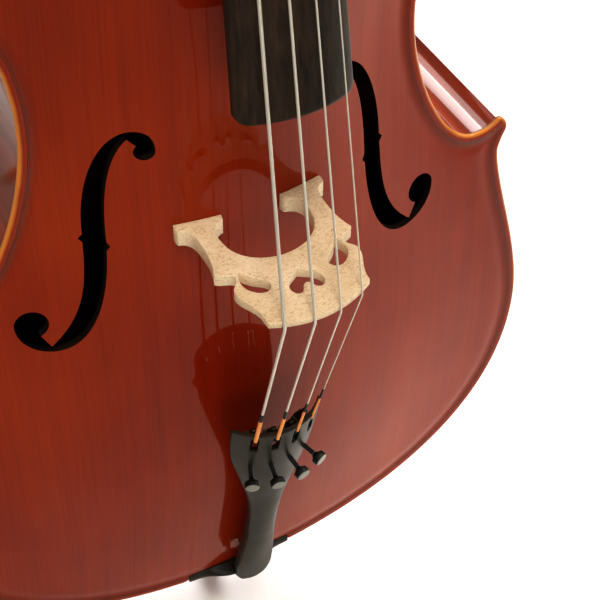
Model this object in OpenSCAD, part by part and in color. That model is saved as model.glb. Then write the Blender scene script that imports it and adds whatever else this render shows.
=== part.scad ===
// Full-size cello, standing upright on its endpin.
// +Z points to the scroll, -Y is the front (belly side), +X is the treble side.
// The origin is the middle of the rubber foot's underside, where the endpin meets the floor.

/* [Body] */
// Length of the belly from the top edge to the bottom edge
body_len = 757; // [700:1:770]
// Widest place of the lower bout
lower_bout = 427; // [400:1:445]
// Height of the ribs
rib_h = 110; // [100:1:120]
// Thickness of belly and back
plate_t = 4.5; // [4:0.1:6]
// Height of the belly's arch above its edge
belly_arch = 26.5; // [20:0.5:30]
// Height of the back's arch above its edge
back_arch = 25; // [20:0.5:30]
// How far the plates stand out over the ribs
overhang = 3.2; // [2:0.1:4]

/* [Setup] */
// Height of the lower edge of the strings at the middle of the bridge, above the belly's edge
bridge_h = 114.3; // [110:0.1:118]
// Distance between the outer strings at the bridge
bridge_spread = 47.4; // [44:0.2:50]
// Distance between the outer strings at the nut
nut_spread = 22; // [20:0.5:24]
// Length of the fingerboard
board_len = 579; // [560:1:590]
// Width of the fingerboard at its lower end
board_w = 64; // [60:1:66]
// Radius of the fingerboard's top
board_r = 58; // [55:1:70]

/* [Endpin] */
// Radius of the endpin rod
rod_r = 5; // [4:0.5:5]
// Length of the endpin rod
rod_len = 460; // [400:10:500]
// Radius of the rubber foot
foot_r = 8; // [7:0.5:10]

/* [Hidden] */
$fn = 48;

// ---- the instrument's own frame: the bridge line at the belly's edge is its origin ----
foot_h = 24;                               // height of the rubber foot
rod_out = 24;                              // rod that shows between the foot and the collar
collar_h = 26;                             // endpin collar below the ribs
below_bridge = 361;                        // bridge line to the body's bottom edge
above_bridge = body_len - below_bridge;    // bridge line to the body's top edge
rib_bottom = -below_bridge + overhang;     // outer face of the lower ribs at the endpin
collar_bottom = rib_bottom - collar_h;
lift = -(collar_bottom - rod_out - foot_h);
body_depth = rib_h + 2 * plate_t;
mid_y = body_depth / 2;
back_y = plate_t + rib_h;                  // inside face of the back's edge

module in_place() {
    translate([0, -mid_y, lift]) children();
}

// a slab from y = y0 to y = y0 + h with the 2D shape drawn in X and Z
module slab(y0, h) {
    translate([0, y0 + h, 0]) rotate([90, 0, 0]) linear_extrude(h) children();
}

// a prism along X from -h/2 to h/2 with the 2D shape drawn in Y and Z
module across(h) {
    rotate([90, 0, 90]) translate([0, 0, -h / 2]) linear_extrude(h) children();
}

module both_sides() {
    for (side = [0, 1]) mirror([side, 0]) children();
}

function mix(a, b, t) = a + (b - a) * t;
function clamp01(t) = min(1, max(0, t));
function smooth(t) = let(c = clamp01(t)) c * c * (3 - 2 * c);

// points of a cubic curve, without its last one
function curve(p, n) = [
    for (i = [0 : n - 1]) let(t = i / n, s = 1 - t)
        s * s * s * p[0] + 3 * s * s * t * p[1] + 3 * s * t * t * p[2] + t * t * t * p[3]
];

// ---- outline of the body ----
half_w = lower_bout / 2;
waist = 115.7;
upper = 170;
lower_tip = [[188.8, -32.5], [188.3, -27], [182.7, -20.5]];
upper_tip = [[152, 140], [157, 143.5], [157.5, 149]];
half_outline = concat(
    curve([[0, -below_bridge], [115, -below_bridge], [half_w, -300], [half_w, -187]], 14),
    curve([[half_w, -187], [half_w, -140], [187, -78], [184.4, -48]], 7),
    curve([[184.4, -48], [184.5, -42], [187, -36], lower_tip[0]], 3),
    [lower_tip[0], lower_tip[1]],
    curve([lower_tip[2], [178, -25.5], [171, -28.2], [165, -27.8]], 3),
    curve([[165, -27.8], [142, -27], [waist, 35], [waist, 79]], 9),
    curve([[waist, 79], [waist, 108], [122, 141], [138, 146]], 7),
    curve([[138, 146], [143, 147.5], [148, 144.5], upper_tip[0]], 3),
    [upper_tip[0], upper_tip[1]],
    curve([upper_tip[2], [155, 155], [153.5, 160], [153.5, 166]], 3),
    curve([[153.5, 166], [153.5, 190], [upper, 215], [upper, 250]], 5),
    curve([[upper, 250], [upper, 330], [95, above_bridge], [15, above_bridge]], 13),
    [[15, above_bridge]]
);
full_outline = concat(
    half_outline,
    [for (i = [len(half_outline) - 1 : -1 : 1]) [-half_outline[i][0], half_outline[i][1]]]
);

module outline(inset = 0) {
    offset(delta = -inset) polygon(full_outline);
}

module ring(from, to) {
    difference() {
        outline(from);
        outline(to);
    }
}

// ---- arching ----
lower_flat = 206;
waist_flat = 109;
upper_flat = 163;
function round_end(t) = pow(max(0, 1 - pow(abs(t), 2.1)), 0.476);
function arch_width(z) =
    z < -190 ? lower_flat * round_end((z + 190) / 171) :
    z < 79 ? mix(lower_flat, waist_flat, smooth((z + 190) / 269)) :
    z < 250 ? mix(waist_flat, upper_flat, smooth((z - 79) / 171)) :
    upper_flat * round_end((z - 250) / 147);
function arch(x, z) =
    let(s = clamp01(abs(z - 18) / 379), t = clamp01(abs(x) / max(1, arch_width(z))))
    pow(1 - pow(s, 4), 1.5) * pow(1 - t * t, 1.6);

grid_x = 24;
grid_z = 40;
grid_w = half_w + 6;
function grid_point(i, j, rise, depth) =
    let(x = mix(-grid_w, grid_w, i / grid_x),
        z = mix(-below_bridge - 6, above_bridge + 30, j / grid_z))
    [x, depth - rise * arch(x, z), z];
row = grid_x + 1;
layer = row * (grid_z + 1);

// an arched sheet, larger than the plate, with its outer face towards -Y
module arched_sheet(rise) {
    points = concat(
        [for (j = [0 : grid_z], i = [0 : grid_x]) grid_point(i, j, rise, 0)],
        [for (j = [0 : grid_z], i = [0 : grid_x]) grid_point(i, j, rise, plate_t)]
    );
    front = [for (j = [0 : grid_z - 1], i = [0 : grid_x - 1])
        let(k = j * row + i) each [[k, k + row, k + row + 1], [k, k + row + 1, k + 1]]];
    inside = [for (f = front) [f[0] + layer, f[2] + layer, f[1] + layer]];
    low = [for (i = [0 : grid_x - 1]) [i, i + 1, i + 1 + layer, i + layer]];
    top = grid_z * row;
    high = [for (i = [0 : grid_x - 1]) [top + i, top + i + layer, top + i + 1 + layer, top + i + 1]];
    left = [for (j = [0 : grid_z - 1]) let(k = j * row) [k, k + layer, k + row + layer, k + row]];
    right = [for (j = [0 : grid_z - 1]) let(k = j * row + grid_x)
        [k, k + row, k + row + layer, k + layer]];
    polyhedron(points, concat(front, inside, low, high, left, right), convexity = 6);
}

// ---- f-holes ----
eye_top = [55.6, 57];
eye_top_r = 5.5;
eye_low = [125, -49.6];
eye_low_r = 9;
f_stem = concat(
    curve([[50.1, 57], [50.1, 66], [55, 70.5], [62, 70.5]], 4),
    curve([[62, 70.5], [78, 70.5], [90.5, 40], [91, 7.5]], 9),
    [[91, 7.5], [93.5, 4.8], [91.4, 2.3]],
    curve([[91.4, 2.3], [92.5, -30], [97, -50], [115.9, -67.3]], 7),
    [[115.9, -67.3], [121.5, -58]],
    curve([[134, -50], [134, -62], [124, -71], [112.7, -71.3]], 4),
    curve([[112.7, -71.3], [92, -71.5], [82, -40], [79.8, -6]], 9),
    [[79.8, -6], [77.7, -3.3], [79.4, 0]],
    curve([[79.4, 0], [79, 25], [76, 54], [63.7, 65.8]], 7),
    [[63.7, 65.8], [58.8, 61]]
);

module f_hole() {
    polygon(f_stem);
    translate(eye_top) circle(eye_top_r, $fn = 20);
    translate(eye_low) circle(eye_low_r, $fn = 24);
}

// ---- plates, ribs, blocks ----
root_w = 29;             // width of the heel where it enters the body
root_in = 10;            // how deep the heel enters the body
saddle_w = 78;
saddle_in = 12;
purfling_in = 4.6;       // purfling's distance from the edge
purfling_w = 1.5;
purfling_d = 1.2;
button_r = 14.5;

module saddle_pocket() {
    translate([-saddle_w / 2, -below_bridge - 5]) square([saddle_w, saddle_in + 5]);
}

module neck_notch() {
    translate([-root_w / 2, above_bridge - root_in]) square([root_w, root_in + 40]);
}

module belly() {
    color("#7a2a14") in_place() resize([lower_bout, 0, 0]) difference() {
        intersection() {
            arched_sheet(belly_arch);
            slab(-40, 60) outline();
        }
        slab(-60, 90) f_hole();
        slab(-60, 90) mirror([1, 0]) f_hole();
        slab(-2, 12) saddle_pocket();
        slab(-2, 12) neck_notch();
        slab(-2, 2 + purfling_d) ring(purfling_in, purfling_in + purfling_w);
    }
}

module back_plate() {
    color("#6e2412") in_place() translate([0, body_depth, 0]) mirror([0, 1, 0])
    resize([lower_bout, 0, 0]) difference() {
        intersection() {
            arched_sheet(back_arch);
            slab(-40, 60) union() {
                outline();
                translate([0, above_bridge]) circle(button_r, $fn = 32);
            }
        }
        slab(-2, 2 + purfling_d) ring(purfling_in, purfling_in + purfling_w);
    }
}

module belly_purfling() {
    color("#1c0d08") in_place() slab(0, purfling_d) difference() {
        ring(purfling_in, purfling_in + purfling_w);
        saddle_pocket();
        neck_notch();
    }
}

module back_purfling() {
    color("#1c0d08") in_place() slab(body_depth - purfling_d, purfling_d)
        ring(purfling_in, purfling_in + purfling_w);
}

rib_t = 1.6;
rib_in = overhang + rib_t;
socket_r = 12;
far = 240;
lower_split = [[165, -45], [192, -29], [far, -29]];
upper_split = [[far, 146], [160, 146], [135, 165]];

module lower_region() {
    polygon(concat([[0, -below_bridge - 20], [far, -below_bridge - 20]],
        [lower_split[2], lower_split[1], lower_split[0]], [[0, -45]]));
}

module c_region() {
    polygon(concat([[0, -45]], lower_split, upper_split, [[0, 165]]));
}

module upper_region() {
    polygon(concat([[root_w / 2, 165]], [upper_split[2], upper_split[1], upper_split[0]],
        [[far, above_bridge + 20], [root_w / 2, above_bridge + 20]]));
}

module rib_band() {
    color("#6a2010") in_place() slab(plate_t, rib_h) intersection() {
        ring(overhang, rib_in);
        children();
    }
}

module rib_upper_treble() rib_band() upper_region();
module rib_upper_bass() rib_band() mirror([1, 0]) upper_region();
module rib_c_treble() rib_band() c_region();
module rib_c_bass() rib_band() mirror([1, 0]) c_region();

module endpin_bore(r) {
    translate([0, mid_y, rib_bottom - 5]) cylinder(r = r, h = 60);
}

module rib_lower_treble() {
    color("#6a2010") difference() {
        rib_band() lower_region();
        in_place() endpin_bore(socket_r);
    }
}

module rib_lower_bass() {
    color("#6a2010") difference() {
        rib_band() mirror([1, 0]) lower_region();
        in_place() endpin_bore(socket_r);
    }
}

block_w = 76;
neck_block_in = 32;
end_block_in = 26;

module neck_block() {
    color("#d8bd8a") in_place() slab(plate_t, rib_h) difference() {
        intersection() {
            outline(rib_in);
            translate([-block_w / 2, above_bridge - neck_block_in]) square([block_w, neck_block_in]);
        }
        neck_notch();
    }
}

module end_block() {
    color("#d8bd8a") in_place() difference() {
        slab(plate_t, rib_h) intersection() {
            outline(rib_in);
            translate([-block_w / 2, -below_bridge]) square([block_w, end_block_in]);
        }
        endpin_bore(socket_r);
    }
}

block_r = 33;

module corner_spots(tips) {
    both_sides() for (p = tips) translate(p) circle(block_r);
}

module corner_blocks(tip) {
    color("#d8bd8a") in_place() slab(plate_t, rib_h) intersection() {
        outline(rib_in);
        corner_spots([tip]);
    }
}

module corner_blocks_upper() corner_blocks(upper_tip[1]);
module corner_blocks_lower() corner_blocks(lower_tip[1]);

lining_t = 2.2;
lining_h = 13;

module linings(y0) {
    color("#dcc694") in_place() slab(y0, lining_h) difference() {
        ring(rib_in, rib_in + lining_t);
        corner_spots([upper_tip[1], lower_tip[1]]);
        translate([-block_w / 2, -far * 2]) square([block_w, far * 4]);
    }
}

module linings_belly() linings(plate_t);
module linings_back() linings(back_y - lining_h);

// a closed solid through a list of sections with equally many points, which run clockwise
// when the eye looks back along the list
module loft(sections) {
    n = len(sections[0]);
    m = len(sections);
    sides = [for (k = [0 : m - 2], i = [0 : n - 1])
        let(a = k * n + i, b = k * n + (i + 1) % n) each [[a, b, b + n], [a, b + n, a + n]]];
    start = [[for (i = [n - 1 : -1 : 0]) i]];
    end = [[for (i = [0 : n - 1]) (m - 1) * n + i]];
    polyhedron([for (s = sections) each s], concat(sides, start, end), convexity = 6);
}

bar_w = 11;
bar_half = 300;
bar_x = -24;
bar_middle = 25;         // height of the bass bar in its middle
bar_end = 5;

module bass_bar() {
    color("#e0c690") in_place() loft([
        for (k = [-8 : 8])
            let(z = 20 + bar_half * k / 8, x = bar_x - 0.012 * z,
                y = plate_t - belly_arch * arch(x, z),
                h = mix(bar_middle, bar_end, pow(abs(k) / 8, 1.6)))
            [[x + bar_w / 2, y, z], [x - bar_w / 2, y, z],
             [x - bar_w / 2 + 2, y + h, z], [x + bar_w / 2 - 2, y + h, z]]
    ]);
}

post_r = 5.5;
post_x = 27;
post_z = -14;

module sound_post() {
    from = plate_t - belly_arch * arch(post_x + post_r, post_z) + 0.1;
    to = back_y + back_arch * arch(post_x + post_r, post_z) - 0.1;
    color("#e6cf9c") in_place() translate([post_x, from, post_z]) rotate([-90, 0, 0])
        cylinder(r = post_r, h = to - from);
}

saddle_top = 9;
saddle_end = 0.8;

module saddle() {
    color("#17110e") in_place() intersection() {
        across(saddle_w) polygon([
            [plate_t, -below_bridge + saddle_in], [-1.8, -below_bridge + saddle_in],
            [-saddle_top * 0.55, -below_bridge + 8], [-saddle_top, -below_bridge + 3.5],
            [-saddle_top + 1, -below_bridge + 1], [-4, -below_bridge], [plate_t, -below_bridge]
        ]);
        translate([0, 0, -below_bridge - 5]) linear_extrude(30) polygon([
            [-saddle_w / 2, plate_t], [-saddle_w / 2, -saddle_end], [-32, -1.9], [-24, -4.7],
            [-16, -7.6], [-8, -saddle_top], [8, -saddle_top], [16, -7.6], [24, -4.7],
            [32, -1.9], [saddle_w / 2, -saddle_end], [saddle_w / 2, plate_t]
        ]);
        slab(-saddle_top - 1, saddle_top + 1 + plate_t) outline();
    }
}

// ---- neck, fingerboard and head ----
neck_slope = 0.18;                           // backward lean of the fingerboard's top
lean = atan(neck_slope);
board_end_z = 110;
nut_z = board_end_z + board_len * cos(lean);
crown_y = -106.2 + neck_slope * nut_z;       // fingerboard's crown at the nut
nut_w = 31;
glue_at_nut = 8.9;                           // thickness of the fingerboard's middle at the nut
glue_at_end = 15.8;
glue_slope = (glue_at_end - glue_at_nut) / board_len;

// children are drawn from the nut: +Z up along the fingerboard, -Y out of its top
module at_nut() {
    in_place() translate([0, crown_y, nut_z]) rotate([-lean, 0, 0]) children();
}

// the joint between fingerboard and neck, as a height z in the body's frame
function joint_y(z) =
    let(u = (z - nut_z + glue_at_nut * sin(lean)) / (cos(lean) + glue_slope * sin(lean)))
    crown_y + (glue_at_nut - glue_slope * u) * cos(lean) + u * sin(lean);

module fingerboard() {
    color("#2c1d16") at_nut() intersection() {
        translate([0, board_r, -board_len]) cylinder(r = board_r, h = board_len, $fn = 96);
        across(board_w) polygon([
            [-1, 0], [glue_at_nut, 0], [glue_at_end, -board_len], [-1, -board_len]
        ]);
        translate([0, glue_at_end + 2, 0]) rotate([90, 0, 0]) linear_extrude(glue_at_end + 4)
            polygon([[-nut_w / 2, 0], [nut_w / 2, 0], [board_w / 2, -board_len],
                [-board_w / 2, -board_len]]);
    }
}

nut_t = 7;
nut_rise = 0.9;

module nut() {
    color("#15100d") at_nut() intersection() {
        translate([0, board_r - nut_rise, 0]) cylinder(r = board_r, h = nut_t, $fn = 96);
        translate([-nut_w / 2, -2, 0]) cube([nut_w, glue_at_nut + 2, nut_t]);
    }
}

// back line of the neck and heel: height, and distance from the belly's edge plane
heel_line = [
    [above_bridge + 0.2, back_y], [above_bridge + 8, back_y], [above_bridge + 12, back_y - 6],
    [above_bridge + 14, 96], [above_bridge + 17, 80], [above_bridge + 22, 62],
    [above_bridge + 30, 43], [above_bridge + 42, 24], [above_bridge + 58, 9],
    [above_bridge + 78, 2], [above_bridge + 110, 4.5]
];
heel_end = heel_line[len(heel_line) - 1];
neck_top_z = nut_z - 2;
neck_top_depth = 21;
function neck_w(z) = mix(nut_w, board_w, (nut_z - z) / (board_len * cos(lean)));
function heel_part(z) = clamp01((above_bridge + 60 - z) / 50);
function neck_section(z, back) =
    let(front = joint_y(z), w = neck_w(z) / 2, depth = back - front, hp = smooth(heel_part(z)),
        foot = sqrt(max(9, button_r * button_r - pow(max(0, z - above_bridge), 2))),
        narrow = mix(1, clamp01(foot / w), hp))
    [for (i = [0 : 12])
        let(a = 180 * i / 12, c = -cos(a), s = sin(a),
            x = sign(c) * pow(abs(c), mix(0.85, 0.25, hp)), d = pow(s, mix(1, 0.5, hp)))
        [w * x * mix(1, narrow, d), front + depth * d, z]];

module neck_shaft() {
    loft(concat(
        [for (p = heel_line) neck_section(p[0], p[1])],
        [for (k = [1 : 6]) let(z = mix(heel_end[0], neck_top_z, k / 6))
            neck_section(z, mix(heel_end[1], joint_y(neck_top_z) + neck_top_depth, k / 6))]
    ));
}

// the head, seen from the side: Y back from the fingerboard's crown, Z up from the nut
head_side = [
    [glue_at_nut + 12 * glue_slope, -12], [glue_at_nut, 0], [glue_at_nut, nut_t], [12.5, 40],
    [17, 80], [20, 120], [20, 146], [32, 160], [62, 168], [60, 140], [56, 110], [53, 75],
    [48, 42], [41, 15], [35, 0], [29, -12]
];
cavity_side = [
    [-5, nut_t + 4], [17, nut_t + 5], [32, nut_t + 10], [42, 43], [45, 80], [48, 112], [49, 134],
    [40, 142], [-5, 142]
];
head_w = [34, 24];       // width of the pegbox at the nut and at the scroll
cavity_w = [21, 15];
head_len = 168;
// radius, half width and centre of each step of the scroll
volute = [[34, 13, [31, 180]], [26.5, 17, [29.5, 181]], [19, 22, [31, 178.5]],
    [12.5, 27, [30.5, 180.5]], [7, 31, [31, 179.5]]];

module taper(w, z0, z1) {
    translate([0, 90, 0]) rotate([90, 0, 0]) linear_extrude(110)
        polygon([[-w[0] / 2, z0], [w[0] / 2, z0], [w[1] / 2, z1], [-w[1] / 2, z1]]);
}

// pegs from the nut upwards: height, depth, side of the head (-1 is the bass side), string's place
pegs = [[28, 24, -1, -5], [58, 30, 1, 5], [90, 34, -1, -2.5], [121, 36, 1, 2.5]];
C = 0;
A = 1;
G = 2;
D = 3;
peg_big = 7.2;           // radius where the shaft enters the pegbox
peg_taper = 0.024;
peg_fit = 0.05;
shaft_len = 44;

// children are drawn along +Z from the pegbox's outer wall on the head's side to the other wall
module at_peg(i) {
    p = pegs[i];
    at_nut() translate([p[2] * 18, p[1], p[0]]) rotate([0, -90 * p[2], 0]) children();
}

module peg_bore(i) {
    at_peg(i) translate([0, 0, -4])
        cylinder(r1 = peg_big + peg_fit + 4 * peg_taper, r2 = peg_big + peg_fit - 40 * peg_taper, h = 44);
}

module neck() {
    color("#8a3a1c") difference() {
        union() {
            in_place() neck_shaft();
            in_place() translate([-root_w / 2, joint_y(above_bridge) + 1, above_bridge - root_in])
                cube([root_w, back_y - joint_y(above_bridge) - 1, root_in + 1]);
            at_nut() intersection() {
                across(60) polygon(head_side);
                taper(head_w, -14, head_len);
            }
            at_nut() for (v = volute)
                translate([-v[1], v[2][0], v[2][1]]) rotate([0, 90, 0]) cylinder(r = v[0], h = 2 * v[1]);
        }
        at_nut() intersection() {
            across(60) polygon(cavity_side);
            taper(cavity_w, 10, 142);
        }
        for (i = [0 : 3]) peg_bore(i);
    }
}

module peg(i) {
    color("#1d1411") at_peg(i) {
        translate([0, 0, -4])
            cylinder(r1 = peg_big + 4 * peg_taper, r2 = peg_big - 36 * peg_taper, h = 40);
        translate([0, 0, -7]) cylinder(r = 9, h = 3);
        translate([0, 0, -13]) cylinder(r1 = 5.5, r2 = 7.5, h = 6);
        difference() {
            translate([0, 4, -28]) rotate([90, 0, 0]) union() {
                cylinder(r = 16, h = 8);
                translate([-5.5, 0, 0]) cube([11, 17, 8]);
            }
            for (side = [-1, 1]) translate([0, side * 24, -28]) rotate([0, 90, 0])
                cylinder(r = 21.5, h = 40, center = true);
        }
        translate([0, 0, -46]) sphere(r = 3.2);
    }
}

module peg_c() peg(C);
module peg_g() peg(G);
module peg_d() peg(D);
module peg_a() peg(A);

winding_r = 8.6;
winding_w = 7;

module winding(i) {
    p = pegs[i];
    color("#b8b8b4") at_peg(i) translate([0, 0, 18 - p[2] * p[3] - winding_w / 2]) difference() {
        cylinder(r = winding_r, h = winding_w);
        translate([0, 0, -1]) cylinder(r = peg_big - 0.25, h = winding_w + 2);
    }
}

module winding_c() winding(C);
module winding_g() winding(G);
module winding_d() winding(D);
module winding_a() winding(A);

// ---- bridge ----
crown_tilt = -0.0695;    // the treble side is lower
crown_bow = 112;
function string_h(x) = bridge_h + crown_tilt * x - x * x / crown_bow;
bridge_t = [11, 2.8];    // thickness at the feet and at the top
bridge_front = 1;        // front face at the top, from the bridge line
bridge_side = concat(
    curve([[0, 67.4], [13, 67.4], [23.6, 60], [26, 49.5]], 6),
    curve([[26, 49.5], [27.4, 42], [27.6, 36], [24, 32.4]], 3),
    curve([[24, 32.4], [22.4, 30.8], [20.6, 30.6], [18.5, 29.6]], 2),
    [[18.5, 29.6], [17.8, 25.7], [44.6, 21.6]],
    curve([[44.2, 27.8], [40.4, 28.4], [38, 31.6], [37.6, 38]], 3),
    curve([[37.6, 38], [37.2, 46], [37.2, 56], [41.2, 64.8]], 3),
    curve([[41.2, 64.8], [38.6, 67.8], [34.6, 67.4], [31.6, 70.4]], 3),
    curve([[31.6, 70.4], [31.4, 75.4], [37, 76.6], [37, 81.4]], 3),
    curve([[37, 81.4], [36.6, 88], [31.2, 93], [31, 101.5]], 3)
);
crown_pts = [for (k = [0 : 12]) let(x = 31 - 62 * k / 12) [x, string_h(x) - 0.7]];
kidney = concat(
    curve([[17.4, 82], [19, 77], [24, 77], [28.6, 68.8]], 4),
    curve([[28.6, 68.8], [32, 74], [32, 80], [27.5, 84]], 4),
    curve([[27.5, 84], [24, 88.5], [18.5, 88], [17.4, 82]], 4)
);
heart = concat(
    curve([[0, 79.5], [3, 82], [9.5, 84], [9.8, 91]], 4),
    curve([[9.8, 91], [9.5, 96.5], [4.5, 97.5], [2.6, 92]], 4),
    [[2.6, 92], [0, 91]]
);

bridge_outline = concat(
    bridge_side,
    crown_pts,
    [for (i = [len(bridge_side) - 1 : -1 : 1]) [-bridge_side[i][0], bridge_side[i][1]]]
);

module bridge_face() {
    difference() {
        polygon(bridge_outline);
        both_sides() polygon(kidney);
        polygon(concat(heart, [for (i = [len(heart) - 2 : -1 : 1]) [-heart[i][0], heart[i][1]]]));
    }
}

module bridge() {
    color("#e8cf9f") in_place() intersection() {
        translate([0, 0, -12]) linear_extrude(24) mirror([0, 1]) bridge_face();
        across(110) polygon([
            [-20, -bridge_t[0] / 2], [-20, bridge_t[0] / 2],
            [-bridge_h - 2, bridge_front], [-bridge_h - 2, bridge_front - bridge_t[1]]
        ]);
    }
}

// ---- tailpiece ----
tail_top_z = -137;
tail_crown = -73;
tail_slope = 0.25;
// along the tailpiece: distance from its wide end, half width, height of the crown over the edges,
// thickness
tail_shape = [
    [0, 29.4, 14.6, 3.4], [1.5, 30, 15, 3.6], [22, 29.4, 14.6, 3.8], [38, 27.4, 13, 4],
    [56, 23, 11.2, 4.6], [74, 18.4, 9.8, 5.4], [96, 13, 7.6, 6.6], [118, 10.2, 5.6, 7.6],
    [148, 9.8, 4, 8], [178, 11.6, 3.2, 8], [194, 12.6, 3, 8], [206, 12.8, 2.8, 7.8],
    [212, 12.2, 2.6, 7.6], [216, 10.5, 2.2, 7.4], [218.6, 7.6, 1.8, 7.2]
];
tail_skew = 0.016;       // the tailpiece's axis runs this much to the treble side as it goes down
function tail_r(s) = (s[1] * s[1] + s[2] * s[2]) / (2 * s[2]);
function tail_y(s, x) = let(r = tail_r(s))
    tail_crown + tail_slope * s[0] + r - sqrt(max(0, r * r - x * x));
function tail_section(s) = concat(
    [for (i = [-5 : 5]) let(x = s[1] * i / 5)
        [x + tail_skew * s[0], tail_y(s, x), tail_top_z - s[0]]],
    [for (i = [5 : -1 : -5]) let(x = (s[1] - 0.6) * i / 5)
        [x + tail_skew * s[0], tail_y(s, x) + s[3], tail_top_z - s[0]]]
);

tuner_z = -175.5;
tuner_x = [-18.5, -6.5, 6.5, 18.5];
tuner_y = [-58.3, -62.8, -62.8, -58.3];
tuner_fan = [-21, -8, 8, 21];
tail_lean = 12.4;
screw_r = 1.6;
pin_r = 1;
pivot = [8.6, 24];       // lever pivot: depth below the top, distance towards the bridge
slot_from = 20;          // the string slots, measured from the screws towards the bridge
slot_len = 16;

// children are drawn from the screw's place on the tailpiece: -Y is out, +Z towards the bridge
module at_tuner(i) {
    in_place() translate([tuner_x[i], tuner_y[i], tuner_z]) rotate([tail_lean, 0, 0])
        rotate([0, 0, tuner_fan[i]]) children();
}

module rod_x(r, len) {
    rotate([0, 90, 0]) cylinder(r = r, h = len, center = true, $fn = 24);
}

cord_r = 1.75;
cord_spread = 5;
cord_x = 208 * tail_skew;    // middle of the cord's two holes

module tailpiece() {
    color("#2b2a26") difference() {
        union() {
            in_place() loft([for (s = tail_shape) tail_section(s)]);
            for (i = [0 : 3]) at_tuner(i) for (side = [-1, 1])
                translate([side * 3.3 - 0.9, 1, pivot[1] - 3]) cube([1.8, 9.8, 6]);
        }
        for (i = [0 : 3]) at_tuner(i) {
            translate([0, 10, 0]) rotate([90, 0, 0]) cylinder(r = screw_r + 0.08, h = 20, $fn = 24);
            translate([-2.3, -6, slot_from]) cube([4.6, 12, slot_len]);
            translate([0, pivot[0], pivot[1]]) rod_x(pin_r, 12);
        }
        for (side = [-1, 1]) in_place() translate([cord_x + side * cord_spread, -15.5, tail_top_z - 205])
            rotate([180, 0, 0]) cylinder(r = cord_r + 0.2, h = 30, $fn = 24);
    }
}

module lever_pins() {
    color("#8c8c88") for (i = [0 : 3]) at_tuner(i) translate([0, pivot[0], pivot[1]]) rod_x(pin_r, 8.4);
}

lever_w = 3.4;
lever_gap = 0.3;
screw_tip = 10.4;

module tuner_lever(i) {
    color("#22211f") at_tuner(i) difference() {
        across(lever_w) polygon([
            [screw_tip + lever_gap, -4], [screw_tip + lever_gap, 16], [pivot[0] - 2.6, pivot[1] - 1],
            [pivot[0] - 2.6, 27], [1.2, 29.5], [0.6, 31.5], [3.6, 32.5], [8, 29.5], [11.2, 26.5],
            [screw_tip + lever_gap + 2.4, 17], [screw_tip + lever_gap + 2.4, -4]
        ]);
        translate([0, pivot[0], pivot[1]]) rod_x(pin_r + 0.05, 12);
    }
}

module tuner_lever_c() tuner_lever(0);
module tuner_lever_g() tuner_lever(1);
module tuner_lever_d() tuner_lever(2);
module tuner_lever_a() tuner_lever(3);

neck_from = 8.4;         // the knob's neck starts this far above the tailpiece
knob_from = 10.6;
knob_h = 4.2;
knob_r = 4.6;

module tuner_screw(i) {
    color("#1b1a19") at_tuner(i) rotate([90, 0, 0]) {
        translate([0, 0, -screw_tip]) cylinder(r = screw_r, h = screw_tip + knob_from + 1, $fn = 24);
        translate([0, 0, neck_from]) cylinder(r1 = screw_r, r2 = knob_r - 0.4, h = knob_from - neck_from);
        difference() {
            translate([0, 0, knob_from]) cylinder(r = knob_r, h = knob_h);
            for (k = [0 : 11]) rotate([0, 0, 30 * k]) translate([knob_r + 0.25, 0, knob_from - 1])
                cylinder(r = 0.6, h = knob_h + 2, $fn = 16);
        }
    }
}

module tuner_screw_c() tuner_screw(0);
module tuner_screw_g() tuner_screw(1);
module tuner_screw_d() tuner_screw(2);
module tuner_screw_a() tuner_screw(3);

// ---- cords: strings and tail cord ----
function unit(v) = v / norm(v);
function along(p, k) =
    k == 0 ? unit(p[1] - p[0]) :
    k == len(p) - 1 ? unit(p[k] - p[k - 1]) :
    unit(unit(p[k] - p[k - 1]) + unit(p[k + 1] - p[k]));

// a tube of eight sides through the points p
module tube(p, r) {
    loft([for (k = [0 : len(p) - 1])
        let(t = along(p, k), side = unit(cross(t, abs(t[0]) > 0.8 ? [0, 0, 1] : [1, 0, 0])),
            other = cross(side, t))
        [for (i = [0 : 7]) p[k] + r * (cos(45 * i) * side + sin(45 * i) * other)]]);
}

string_r = [1.0, 0.8, 0.6, 0.45];
string_x = [-bridge_spread / 2, -bridge_spread / 6, bridge_spread / 6, bridge_spread / 2];
nut_x = [-nut_spread / 2, -nut_spread / 6, nut_spread / 6, nut_spread / 2];
peg_of = [C, G, D, A];

// a place given from the nut, in the body's frame
function from_nut(p) = [
    p[0],
    crown_y + p[1] * cos(lean) + p[2] * sin(lean),
    nut_z - p[1] * sin(lean) + p[2] * cos(lean)
];
// a place given from a tuner screw, in the body's frame
function from_tuner(i, p) =
    let(f = tuner_fan[i], x = p[0] * cos(f) - p[1] * sin(f), y = p[0] * sin(f) + p[1] * cos(f))
    [tuner_x[i] + x, tuner_y[i] + y * cos(tail_lean) - p[2] * sin(tail_lean),
     tuner_z + y * sin(tail_lean) + p[2] * cos(tail_lean)];

function string_route(i) =
    let(r = string_r[i], p = pegs[peg_of[i]], rise = board_r - sqrt(pow(board_r, 2) - pow(nut_x[i], 2)))
    [
        from_tuner(i, [0, 1.2, 33.2]),
        from_tuner(i, [0, -r - 0.6, 36.5]),
        [string_x[i], -string_h(string_x[i]), -3.2],
        [string_x[i], -string_h(string_x[i]) - 0.25, -1.3],
        [string_x[i], -string_h(string_x[i]) + 0.3, 2],
        from_nut([nut_x[i], rise - nut_rise - r - 0.15, -1]),
        from_nut([nut_x[i], rise - nut_rise - r - 0.05, 4]),
        from_nut([nut_x[i], rise - nut_rise - r + 1.2, nut_t + 1.5]),
        from_nut([p[3], p[1] - winding_r - r - 0.35, p[0] - 2])
    ];

module string(i, colour) {
    color(colour) in_place() tube(string_route(i), string_r[i]);
}

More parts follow.
